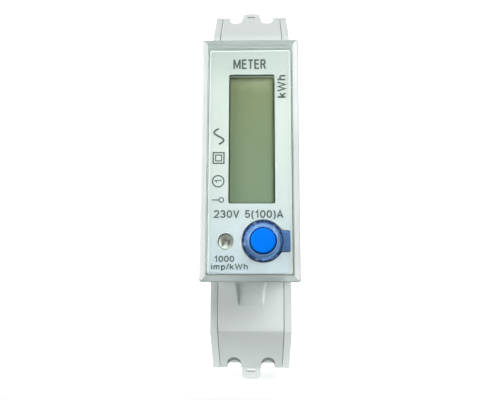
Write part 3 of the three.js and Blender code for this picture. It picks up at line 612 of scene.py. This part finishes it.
def notch_arc(x, steps=14):
    """The sides and the round end of a cable notch, from its right corner to its left."""
    arc_z = END_Z - NOTCH_DEPTH + NOTCH_HALF
    turns = (math.pi * i / steps for i in range(steps + 1))
    bend = [(x + NOTCH_HALF * math.cos(a), arc_z - NOTCH_HALF * math.sin(a)) for a in turns]
    return [(x + NOTCH_HALF, END_Z), *bend, (x - NOTCH_HALF, END_Z)]


def cover_outline(inset):
    """A terminal cover's outline from the front, with its finger recess and cable notches."""
    x, top, end = COVER_HALF_X - inset, COVER_TOP_Z + inset, END_Z - inset
    recess = [
        (-RECESS_ROOT - inset, top),
        (-RECESS_TIP - inset, RECESS_Z + inset),
        (RECESS_TIP + inset, RECESS_Z + inset),
        (RECESS_ROOT + inset, top),
    ]
    wider = 1 + inset / NOTCH_HALF
    right, left = (
        [(at + (px - at) * wider, pz - inset) for px, pz in notch_arc(at)] for at in (NOTCH_X, -NOTCH_X)
    )
    return [(-x, top)] + recess + [(x, top), (x, end)] + right + left + [(-x, end)]


def bend_over_front(bm):
    """Bends a flat plate to the cover's front face, with cuts where it bends."""
    for i in range(9):
        z = BEND_Z - 1.2 + 0.3 * i
        everything = bm.verts[:] + bm.edges[:] + bm.faces[:]
        bmesh.ops.bisect_plane(bm, geom=everything, plane_co=(0, 0, z * MM), plane_no=(0, 0, 1))
    for v in bm.verts:
        v.co.y += cover_front(v.co.z / MM) * MM


def recess_tray():
    """The scoop of the finger recess, open towards the nose."""
    rim = [
        (-RECESS_ROOT, COVER_TOP_Z),
        (-RECESS_TIP, RECESS_Z),
        (RECESS_TIP, RECESS_Z),
        (RECESS_ROOT, COVER_TOP_Z),
    ]
    # how much wider, how much longer and how deep each row of points is
    levels = [
        (0.06, 0.06, 0.1),
        (-0.1, -0.3, 0.24),
        (-0.16, -1.8, 0.6),
        (-0.2, -3.0, 0.85),
        (-0.3, -4.6, 1.0),
    ]
    tray = bmesh.new()
    rows = []
    for spread, run, depth in levels:
        row = [(x * (1 + spread / 3), SHOULDER_Y + depth, z + (run if z == RECESS_Z else 0)) for x, z in rim]
        rows.append([tray.verts.new(Vector(p) * MM) for p in row])
    for a, b in zip(rows, rows[1:]):
        for i in range(3):
            tray.faces.new((a[i], a[i + 1], b[i + 1], b[i]))
    tray.faces.new(rows[-1])
    bmesh.ops.recalc_face_normals(tray, faces=tray.faces)
    bmesh.ops.solidify(tray, geom=tray.faces[:], thickness=0.5 * MM)
    return tray


def tongue_outline(inset):
    """The sealing tongue: straight sides, then a flattened round tip."""
    root, shoulder = END_Z - TONGUE_OVERLAP, 1.5
    w, low, high = TONGUE_HALF - inset, root + inset, TIP_Z - inset
    points = [(-w, low), (w, low), (w, high - shoulder)]
    for i in range(1, 12):
        a = math.pi * i / 12
        points.append((w * math.cos(a), high - shoulder + shoulder * math.sin(a) ** 0.7))
    return points + [(-w, high - shoulder)]


def tongue():
    """The tongue with its sealing slot, tilted back from the end of the cover."""
    root = END_Z - TONGUE_OVERLAP
    root_y = END_Y - TONGUE_OVERLAP * SLOPE
    tilt = (TONGUE_Y - root_y) / (TIP_Z - root)
    flap = bmesh.new()
    slab(flap, tongue_outline, [rounded(0, END_Z + 0.95, 2.1, 0.9, 0.25, 4)], 0, 1.5, 0.15, 3)
    for v in flap.verts:
        v.co.y += (root_y + (v.co.z / MM - root) * tilt) * MM
    return flap


def terminal_cover(name, sign):
    bm = bmesh.new()
    slab(bm, cover_outline, [], 0, COVER_THICK, 0.18, 3)
    bend_over_front(bm)
    made = bpy.data.meshes.new(name + "_parts")
    for extra in (recess_tray(), tongue()):
        bmesh.ops.recalc_face_normals(extra, faces=extra.faces)
        extra.to_mesh(made)
        bm.from_mesh(made)
        extra.free()
    bpy.data.meshes.remove(made)
    if sign < 0:
        bmesh.ops.scale(bm, vec=(1, 1, -1), verts=bm.verts)
        bmesh.ops.reverse_faces(bm, faces=bm.faces)
    end = "upper" if sign > 0 else "lower"
    obj = piece(name, bm, "cover_" + end, "cover", ["terminal_cover_" + end], 32)
    obj.data.materials.append(MATERIALS["cover_thin"])
    obj.data.materials.append(MATERIALS["cover_slope_shade"])
    for face in obj.data.polygons:
        z = abs(face.center.z) / MM
        if z > END_Z + 0.05:
            face.material_index = 1
        # the lower cover's downward-facing slope gets the darker painted shade
        elif sign < 0 and z > BEND_Z and face.normal.y < -0.5:
            face.material_index = 2


terminal_cover("terminal_cover_upper_look", 1)
terminal_cover("terminal_cover_lower_look", -1)


# ---- Painted shade: dark plates inside the cable entries ----
def entry_shade_plate(name, x, sign):
    """A thin dark arched plate behind the cover's notch: painted shade of the cable entry."""
    half, above, depth, thick = 1.75, 0.25, 1.15, 0.3
    behind = COVER_THICK + 0.15
    arch = [(px * half / NOTCH_HALF, pz) for px, pz in notch_arc(0)]
    upper = [(px, pz - above) for px, pz in arch]
    lower = [(px * 0.9, min(pz + depth, END_Z - 0.3)) for px, pz in arch]
    bm = bmesh.new()
    slab(bm, fixed_outline(upper + lower[::-1]), [], 0, thick, 0)
    for v in bm.verts:
        z = v.co.z / MM
        v.co = Vector((v.co.x + x * MM, v.co.y + (cover_front(z) + behind) * MM, sign * v.co.z))
    piece(name, bm, "meter_case", "shade", (), 30)


for pole, x in (("line", -NOTCH_X), ("neutral", NOTCH_X)):
    entry_shade_plate(f"entry_shade_plate_{pole}_upper", x, 1)
    entry_shade_plate(f"entry_shade_plate_{pole}_lower", x, -1)


# ---- Clear cover ----
def front_cover():
    """Five walls of clear plastic, with a bore around the button."""
    bm = bmesh.new()
    outer = rounded(0, 0, 2 * HALF_WIDTH, 2 * HALF_NOSE, 0.5, 8)
    inner = rounded(0, 0, 2 * (HALF_WIDTH - WALL), 2 * (HALF_NOSE - WALL), 0.25, 8)
    hole = circle(BUTTON[0], BUTTON[1], BUTTON_RADIUS + 0.25)
    edge = 0.35
    outer_profile = [(COVER_REAR_Y, 0.12), (COVER_REAR_Y - 0.12, 0)]
    for i in range(5):
        a = math.pi / 2 * i / 4
        outer_profile.append((FRONT_Y + edge * (1 - math.sin(a)), edge * (1 - math.cos(a))))
    outer_profile.append((FRONT_Y, 1.08 * WALL))  # the pane starts inside the walls
    outside = loft(bm, [[(x, y, z) for x, z in outer(i)] for y, i in outer_profile])
    inner_front = FRONT_Y + PANE
    inner_profile = [
        (COVER_REAR_Y, 0),
        (inner_front + 0.2, 0),
        (inner_front + 0.06, 0.06),
        (inner_front, 0.2),
        (inner_front, 0.35),
    ]
    inside = loft(bm, [[(x, y, z) for x, z in inner(i)] for y, i in inner_profile])
    bore = [
        (FRONT_Y, 0.25),
        (FRONT_Y, 0.12),
        (FRONT_Y + 0.04, 0.04),
        (FRONT_Y + 0.12, 0),
        (inner_front - 0.06, 0),
        (inner_front, 0.06),
        (inner_front, 0.2),
    ]
    through = loft(bm, [[(x, y, z) for x, z in hole(-i)] for y, i in bore])
    cap(bm, [outside[-1], through[0]])
    cap(bm, [inside[-1], through[-1]])
    cap(bm, [outside[0], inside[0]])
    obj = piece("clear_front_cover_look", bm, "meter_case", "clear", ["clear_front_cover"], 30)
    for look in ("clear_wall", "clear_inside_shade", "clear_rim"):
        obj.data.materials.append(MATERIALS[look])
    rim_x, rim_z = HALF_WIDTH - WALL - 0.05, HALF_NOSE - WALL - 0.05
    for face in obj.data.polygons:
        x, y, z = (abs(v) / MM for v in face.center)
        on_pane = abs(face.normal.y) > 0.99 and y > -FRONT_Y - 2
        if on_pane and x <= rim_x and z <= rim_z:
            face.material_index = 0
        # the walls' inner side faces take the darker tint of painted shade
        elif rim_x - 0.1 < x < rim_x + 0.1 and abs(face.normal.x) > 0.5:
            face.material_index = 2
        elif y > -FRONT_Y - PANE and x > rim_x and z < HALF_NOSE - 0.6:
            face.material_index = 3
        else:
            face.material_index = 1


front_cover()


# ---- Panel and label ----
def in_window(smaller, radius):
    """An outline around the window's centre, smaller than the window by that much."""
    return rounded(WINDOW[0], WINDOW[1], WINDOW[2] - smaller, WINDOW[3] - smaller, radius, 6)


window = in_window(0, WINDOW_ROUND)
led_hole = circle(*LED, LED_RADIUS + 0.1, 48)
bezel_reach = BEZEL_RADIUS + 0.15
panel_edge = rounded(0, 0, 15.4, 42.4, 0.4)
window_front = -57.1
behind_panel = LCD_FRONT - 0.02


def display_window():
    """The plate that fills the window, with its olive rim of partly painted shade."""
    bm = bmesh.new()
    slab(bm, in_window(0.02, 0.5), [in_window(0.3, 0.4)], PANEL_FRONT, behind_panel, 0.04, 1)
    # the rim piece carries painted shade of the window's edge, with painted light along its top
    piece("display_rim_painted_shade", bm, "meter_case", "rim_shade_and_light", ())
    bm = bmesh.new()
    slab(bm, in_window(0.34, 0.38), [], window_front, behind_panel, 0.05, 1)
    piece("display_window", bm, "meter_case", "display", ())


def front_panel():
    """The white panel, with holes for the window, the bezel and the lamp."""
    bm = bmesh.new()
    slab(bm, panel_edge, [window, circle(*BUTTON, bezel_reach), led_hole], PANEL_FRONT, PANEL_REAR, 0.12)
    piece("front_panel_look", bm, "meter_case", "panel", ["front_panel"])


display_window()
front_panel()


def label_outline():
    """The label's edge, which runs in around the bezel and its lug."""
    left, right, low, high = -7.4, 7.3, -21.0, 20.8
    bx, bz = BUTTON
    half_lug = 2.0
    start = math.asin(half_lug / bezel_reach)
    points = [(left, low), (right, low), (right, bz - half_lug)]
    steps = 72
    for i in range(steps + 1):
        a = -start - (2 * math.pi - 2 * start) * i / steps
        points.append((bx + bezel_reach * math.cos(a), bz + bezel_reach * math.sin(a)))
    points += [(right, bz + half_lug), (right, high), (left, high)]
    return points


def face_label():
    """The printed film on the panel."""
    bm = bmesh.new()
    slab(bm, fixed_outline(label_outline()), [window, led_hole], LABEL_FRONT, PANEL_FRONT - 0.02, 0)
    piece("face_label_look", bm, "meter_case", "label", ["face_label"], 30)


face_label()

# ---- Printed marks ----
INK_FRONT = LABEL_FRONT - 0.03
INK_REAR = LABEL_FRONT + 0.02


def arc(x, z, rx, rz, start, end, steps=14):
    """Points along an ellipse, between two angles in degrees."""
    turns = (math.radians(start + (end - start) * i / steps) for i in range(steps + 1))
    return [(x + rx * math.cos(a), z + rz * math.sin(a)) for a in turns]


# Each character: its width, and its strokes, on a capital height of 1.
GLYPHS = {
    " ": (0.12, []),
    "0": (0.6, [arc(0.3, 0.5, 0.24, 0.44, 90, 450, 24)]),
    "1": (0.42, [[(0.04, 0.7), (0.2, 0.8), (0.29, 0.98), (0.29, 0)]]),
    "2": (0.6, [arc(0.3, 0.68, 0.24, 0.26, 172, -42) + [(0.08, 0.06), (0.57, 0.06)]]),
    "3": (0.6, [arc(0.28, 0.72, 0.21, 0.22, 165, -90), arc(0.28, 0.28, 0.25, 0.22, 90, -165)]),
    "5": (0.6, [[(0.53, 0.94), (0.15, 0.94), (0.09, 0.48)] + arc(0.29, 0.33, 0.24, 0.27, 125, -155)]),
    "(": (0.3, [arc(0.36, 0.4, 0.28, 0.66, 118, 242)]),
    ")": (0.3, [arc(-0.06, 0.4, 0.28, 0.66, 62, -62)]),
    "/": (0.28, [[(0.0, -0.02), (0.27, 1.02)]]),
    "A": (0.68, [[(0.04, 0), (0.34, 0.97), (0.64, 0)], [(0.14, 0.3), (0.54, 0.3)]]),
    "E": (0.6, [[(0.56, 0.94), (0.09, 0.94), (0.09, 0.06), (0.58, 0.06)], [(0.09, 0.52), (0.53, 0.52)]]),
    "M": (0.9, [[(0.1, 0), (0.1, 1)], [(0.12, 0.94), (0.45, 0.16), (0.78, 0.94)], [(0.8, 1), (0.8, 0)]]),
    "R": (
        0.64,
        [
            [(0.09, 0), (0.09, 0.94), (0.36, 0.94)] + arc(0.36, 0.72, 0.19, 0.22, 90, -90) + [(0.09, 0.5)],
            [(0.36, 0.5), (0.6, 0)],
        ],
    ),
    "T": (0.62, [[(0.02, 0.94), (0.6, 0.94)], [(0.31, 0.94), (0.31, 0)]]),
    "V": (0.66, [[(0.04, 1), (0.33, 0.05), (0.62, 1)]]),
    "W": (0.94, [[(0.04, 1), (0.26, 0.06), (0.47, 0.9), (0.68, 0.06), (0.9, 1)]]),
    "h": (0.54, [[(0.08, 0), (0.08, 1)], [(0.08, 0.4)] + arc(0.27, 0.46, 0.19, 0.22, 165, 0) + [(0.46, 0)]]),
    "i": (0.16, [[(0.08, 0), (0.08, 0.7)], [(0.08, 0.86), (0.08, 1)]]),
    "k": (0.5, [[(0.08, 0), (0.08, 1)], [(0.45, 0.7), (0.1, 0.3)], [(0.2, 0.44), (0.47, 0)]]),
    "m": (
        0.78,
        [
            [(0.08, 0), (0.08, 0.7)],
            [(0.08, 0.44)] + arc(0.23, 0.48, 0.15, 0.19, 165, 0) + [(0.38, 0)],
            [(0.38, 0.44)] + arc(0.54, 0.48, 0.15, 0.19, 165, 0) + [(0.69, 0)],
        ],
    ),
    "p": (0.54, [[(0.08, 0.7), (0.08, -0.28)], arc(0.27, 0.34, 0.19, 0.34, 90, 450, 20)]),
}
CHARACTER_GAP = 0.14


def mark(name, bm):
    piece(name, bm, "meter_case", "ink", (), 30)


def stroke(bm, points, width, closed=False):
    """A printed line of that width along points in the plane of the label, mitred at its corners."""
    count = len(points)
    flat = [Vector(p) for p in points]
    sides = []
    for i, p in enumerate(flat):
        into = (p - flat[i - 1]).normalized() if closed or i else None
        out = (flat[(i + 1) % count] - p).normalized() if closed or i < count - 1 else None
        into, out = into or out, out or into
        along = (into + out).normalized()
        mitre = 1 / max(0.45, along.dot(into))
        off = Vector((-along.y, along.x)) * width / 2 * mitre
        sides.append([tuple(p + off), tuple(p - off)])
    rows = []
    for (ax, az), (bx, bz) in sides:
        corner = [(ax, INK_FRONT, az), (bx, INK_FRONT, bz), (bx, INK_REAR, bz), (ax, INK_REAR, az)]
        rows.append([bm.verts.new(Vector(p) * MM) for p in corner])
    pairs = list(zip(rows, rows[1:])) + ([(rows[-1], rows[0])] if closed else [])
    for a, b in pairs:
        for i in range(4):
            j = (i + 1) % 4
            bm.faces.new((a[i], a[j], b[j], b[i]))
    if not closed:
        bm.faces.new(rows[0])
        bm.faces.new(rows[-1])


def lettering(name, text, start, end, low, high, weight, quarter_turn=False):
    """Text between start and end along its line, with capitals from low to high."""
    k = high - low
    length = sum(GLYPHS[c][0] for c in text) + CHARACTER_GAP * (len(text) - 1)
    ku = (end - start) / length
    bm = bmesh.new()
    at = 0
    for c in text:
        advance, lines = GLYPHS[c]
        for line in lines:
            points = [(start + (at + u) * ku, low + w * k) for u, w in line]
            if quarter_turn:
                points = [(low + high - w, u) for u, w in points]
            stroke(bm, points, weight * k)
        at += advance + CHARACTER_GAP
    mark(name, bm)


def ring_points(x, z, radius, steps=40):
    turns = (2 * math.pi * i / steps for i in range(steps))
    return [(x + radius * math.cos(a), z + radius * math.sin(a)) for a in turns]


def square_points(x, z, half):
    return [(x - half, z - half), (x + half, z - half), (x + half, z + half), (x - half, z + half)]


lettering("mark_title", "METER", -3.2, 2.95, 17.35, 19.2, 0.17)
lettering("mark_unit", "kWh", 11.6, 16.1, 5.15, 6.65, 0.22, quarter_turn=True)
lettering("mark_rating", "230V  5(100)A", -6.6, 6.0, -11.0, -9.65, 0.2)
lettering("mark_pulses", "1000", -6.4, -2.85, -18.95, -17.9, 0.22)
lettering("mark_pulse_unit", "imp/kWh", -7.0, -0.35, -20.3, -19.3, 0.21)
lettering("mark_one", "1", -4.58, -3.94, -6.5, -5.25, 0.17, quarter_turn=True)


def symbols():
    """The signs along the left edge of the label."""
    bm = bmesh.new()
    wave = [(-5.82 + 0.9 * math.sin(2 * math.pi * i / 24), 2.7 + 3.0 * i / 24) for i in range(25)]
    stroke(bm, wave, 0.34)
    mark("mark_wave", bm)
    bm = bmesh.new()
    stroke(bm, square_points(-5.83, 0.1, 1.0), 0.24, closed=True)
    stroke(bm, square_points(-5.83, 0.1, 0.55), 0.2, closed=True)
    mark("mark_squares", bm)
    bm = bmesh.new()
    stroke(bm, ring_points(-5.87, -4.27, 1.05), 0.24, closed=True)
    mark("mark_ring", bm)
    bm = bmesh.new()
    stroke(bm, ring_points(-5.25, -7.74, 0.42, 28), 0.2, closed=True)
    stroke(bm, [(-7.0, -7.74), (-5.68, -7.74)], 0.2)
    mark("mark_line_ring", bm)


symbols()


# ---- Display ----
def lcd_glass():
    """The liquid crystal cell behind the window."""
    glass_rear = -53.8
    bm = bmesh.new()
    slab(bm, rounded(WINDOW[0], WINDOW[1], 11.8, 27.6, 0.2, 4), [], LCD_FRONT, glass_rear, 0.08, 3)
    piece("lcd_glass_look", bm, "meter_case", "display", ["lcd_glass"])


lcd_glass()


# ---- Bezel, button and lamp ----
def button_bezel():
    """The blue ring around the button, with a bead at each rim."""
    bezel_bore, bezel_rear = 2.45, -55.9
    bm = bmesh.new()
    profile = [
        (bezel_bore, bezel_rear),
        (bezel_bore, -58.2),
        (2.5, -58.34),
        (2.64, -58.42),
        (2.8, -58.34),
        (2.92, -58.12),
        (3.12, -58.02),
        (3.32, -58.08),
        (3.42, -58.26),
        (3.5, -58.44),
        (3.58, -58.5),
        (3.67, -58.47),
        (3.73, -58.38),
        (BEZEL_RADIUS, -58.24),
        (BEZEL_RADIUS, bezel_rear),
        (bezel_bore, bezel_rear),
    ]
    spun(bm, "Y", BUTTON, profile, 96)
    piece("button_bezel_look", bm, "meter_case", "bezel", ["button_bezel"], 60)


def bezel_lug():
    """The lug between the bezel and the panel's right edge."""
    bm = bmesh.new()
    slab(bm, rounded(6.45, BUTTON[1], 1.7, 3.7, 0.12, 4), [], -58.4, -57.95, 0.08)
    piece("bezel_lug", bm, "meter_case", "lug", ())


def push_button():
    """The button, with a flange that keeps it in and a stem to the switch."""
    top = FRONT_Y - 0.9
    flange, flange_front, flange_rear = 3.0, -55.6, -55.1
    stem, stem_rear = 1.2, -54.75
    bm = bmesh.new()
    profile = [
        (0, top),
        (1.2, top + 0.005),
        (1.85, top + 0.03),
        (2.06, top + 0.08),
        (2.16, top + 0.17),
        (BUTTON_RADIUS, top + 0.3),
        (BUTTON_RADIUS, flange_front),
        (flange, flange_front),
        (flange, flange_rear),
        (stem, flange_rear),
        (stem, stem_rear),
        (0, stem_rear),
    ]
    spun(bm, "Y", BUTTON, profile, 96)
    piece("push_button_look", bm, "button", "button", ["push_button"], 35)


button_bezel()
bezel_lug()
push_button()
refined("switch_plunger", "button", "black", 0.1)
refined("tact_switch", "meter_case", "switch", 0.12)


def pulse_led():
    """The clear dome of the lamp."""
    collar, collar_front, led_rear = 1.53, -53.8, -53.0
    bm = bmesh.new()
    profile = [
        (0, -57.9),
        (0.4, -57.87),
        (0.8, -57.74),
        (1.1, -57.5),
        (1.29, -57.15),
        (LED_RADIUS, -56.7),
        (LED_RADIUS, collar_front),
        (collar, collar_front),
        (collar, led_rear),
        (0, led_rear),
    ]
    spun(bm, "Y", LED, profile, 64)
    piece("pulse_led_look", bm, "meter_case", "led", ["pulse_led"], 40)


def led_cup():
    """The pale cup inside the dome."""
    cup_radius = 1.3
    bm = bmesh.new()
    profile = [
        (0, CUP_FLOOR),
        (0.5, CUP_FLOOR),
        (1.05, -56.35),
        (1.18, -56.6),
        (1.26, -56.62),
        (cup_radius, -56.5),
        (cup_radius, CUP_REAR),
        (0, CUP_REAR),
    ]
    spun(bm, "Y", LED, profile, 48)
    piece("led_cup", bm, "meter_case", "cup", (), 40)


def led_frame():
    """The metal of the lamp: three flags in the cup and two legs."""
    bm = bmesh.new()
    for x0, x1, z0, z1, y in (
        (-0.62, -0.2, -0.55, 0.5, -56.75),
        (-0.62, 0.1, 0.1, 0.5, -56.8),
        (0.3, 0.62, -0.5, 0.35, -56.7),
    ):
        brick(bm, LED[0] + x0, LED[0] + x1, y, CUP_FLOOR + 0.2, LED[1] + z0, LED[1] + z1)
    leg_half, leg_rear = 0.2, -51.1
    for side in (-1, 1):
        x, z = LED[0] + side * 0.75, LED[1]
        brick(bm, x - leg_half, x + leg_half, CUP_REAR + 0.02, leg_rear, z - leg_half, z + leg_half)
    rounded_edges(piece("led_frame", bm, "meter_case", "lead", ()), 0.06, 2, 30)


pulse_led()
led_cup()
led_frame()

# ---- The rest keeps its CAD shape, with rounded edges ----
for node, material, slot, width in (
    ("lcd_reflector", "panel", "panel_plastic", 0.15),
    ("zebra_strip_left", "rubber", "contact_rubber", 0.12),
    ("zebra_strip_right", "rubber", "contact_rubber", 0.12),
    ("display_board", "board", "board", 0.05),
    ("main_board", "board", "board", 0.05),
    ("board_header", "black", "black_plastic", 0.15),
    ("metering_chip", "black", "black_plastic", 0.12),
    ("quartz_crystal", "can", "crystal_can", 0.25),
    ("film_capacitor", "film", "film_box", 0.4),
    ("electrolytic_capacitor", "sleeve", "capacitor_sleeve", 0.3),
    ("varistor", "varistor", "varistor_coat", 0.8),
    ("dropper_resistor", "resistor", "resistor_coat", 0.3),
    ("neutral_bar", "brass", "brass_bar", 0.12),
    ("line_bar_upper", "copper", "copper_bar", 0.12),
    ("line_bar_lower", "copper", "copper_bar", 0.12),
    ("shunt_element", "shunt", "shunt_alloy", 0.08),
    ("sense_pin_upper", "copper", "copper_bar", 0.05),
    ("sense_pin_lower", "copper", "copper_bar", 0.05),
    ("neutral_pin", "copper", "copper_bar", 0.05),
):
    refined(node, "meter_case", material, width)
refined("rail_clip", "clip", "clip", 0.3)
for pole in ("line", "neutral"):
    for end in ("upper", "lower"):
        name = f"{pole}_screw_{end}"
        refined(name, name, "nickel", 0.18)
        name = f"{pole}_cage_{end}"
        refined(name, name, "zinc", 0.2)

# ---- Stage and lights, in metres ----
FLOOR_Z = -TIP_Z * MM
FLOOR_HALF_WIDTH = 1.8
FLOOR_FRONT = -1.6
FLOOR_BEND = 0.55
FLOOR_CURVE = 0.3
BACKDROP_HEIGHT = 1.6


def floor_paper():
    """Paper that glows from the object's front backwards, so that it stays white behind it."""
    paper = Surface("floor_paper")
    paper.link(
        paper.ramp(paper.noise(9, 2), [(0.3, (0.5, 0.505, 0.505, 1)), (0.7, (0.53, 0.535, 0.535, 1))]),
        paper.shader.inputs["Base Color"],
    )
    depth = paper.node("ShaderNodeSeparateXYZ")
    paper.link(paper.place, depth.inputs[0])
    glow = paper.node("ShaderNodeMath", operation="ADD")
    paper.link(paper.spread(depth.outputs["Y"], 0.0, 0.58, -0.056, -0.038), glow.inputs[0])
    paper.link(paper.spread(depth.outputs["Y"], 0.0, 0.4, -0.038, 0.02), glow.inputs[1])
    paper.link(glow.outputs[0], paper.shader.inputs["Emission Strength"])
    return paper.set(Roughness=0.9, Specular_IOR_Level=0.1, Emission_Color=(0.97, 0.985, 0.98, 1)).material


def floor_sweep():
    """A floor that curves up into a backdrop behind the object."""
    line = [(FLOOR_FRONT, 0.0), (FLOOR_BEND, 0.0)]
    for i in range(1, 13):
        a = math.pi / 2 * i / 12
        line.append((FLOOR_BEND + FLOOR_CURVE * math.sin(a), FLOOR_CURVE * (1 - math.cos(a))))
    line.append((FLOOR_BEND + FLOOR_CURVE, BACKDROP_HEIGHT))
    bm = bmesh.new()
    rows = []
    for y, z in line:
        rows.append([bm.verts.new((x, y, FLOOR_Z + z)) for x in (-FLOOR_HALF_WIDTH, FLOOR_HALF_WIDTH)])
    for a, b in zip(rows, rows[1:]):
        bm.faces.new((a[0], a[1], b[1], b[0]))
    mesh = bpy.data.meshes.new("floor_sweep")
    bm.to_mesh(mesh)
    bm.free()
    mesh.shade_smooth()
    mesh.materials.append(floor_paper())
    floor = bpy.data.objects.new("floor_sweep", mesh)
    scene.collection.objects.link(floor)


floor_sweep()

world = bpy.data.worlds.new("studio")
scene.world = world
world.use_nodes = True
sky = world.node_tree.nodes["Background"]
sky.inputs["Color"].default_value = (0.97, 0.985, 1.0, 1)
sky.inputs["Strength"].default_value = 0.15

LIGHTS_AIM = Vector((0, -0.04, 0))


def softbox(name, at, size, power):
    """A square light that faces the middle of the object."""
    light = bpy.data.lights.new(name, "AREA")
    light.shape = "SQUARE"
    light.size = size
    light.energy = power
    obj = bpy.data.objects.new(name, light)
    scene.collection.objects.link(obj)
    at = Vector(at)
    turned = (LIGHTS_AIM - at).to_track_quat("-Z", "Y").to_matrix().to_4x4()
    obj.matrix_world = Matrix.Translation(at) @ turned


softbox("key", (0.32, -0.7, 0.44), 0.42, 4.9)
softbox("fill", (-0.6, -0.32, 0.1), 0.4, 4.0)
softbox("top", (0.22, -0.36, 0.7), 0.45, 0.6)
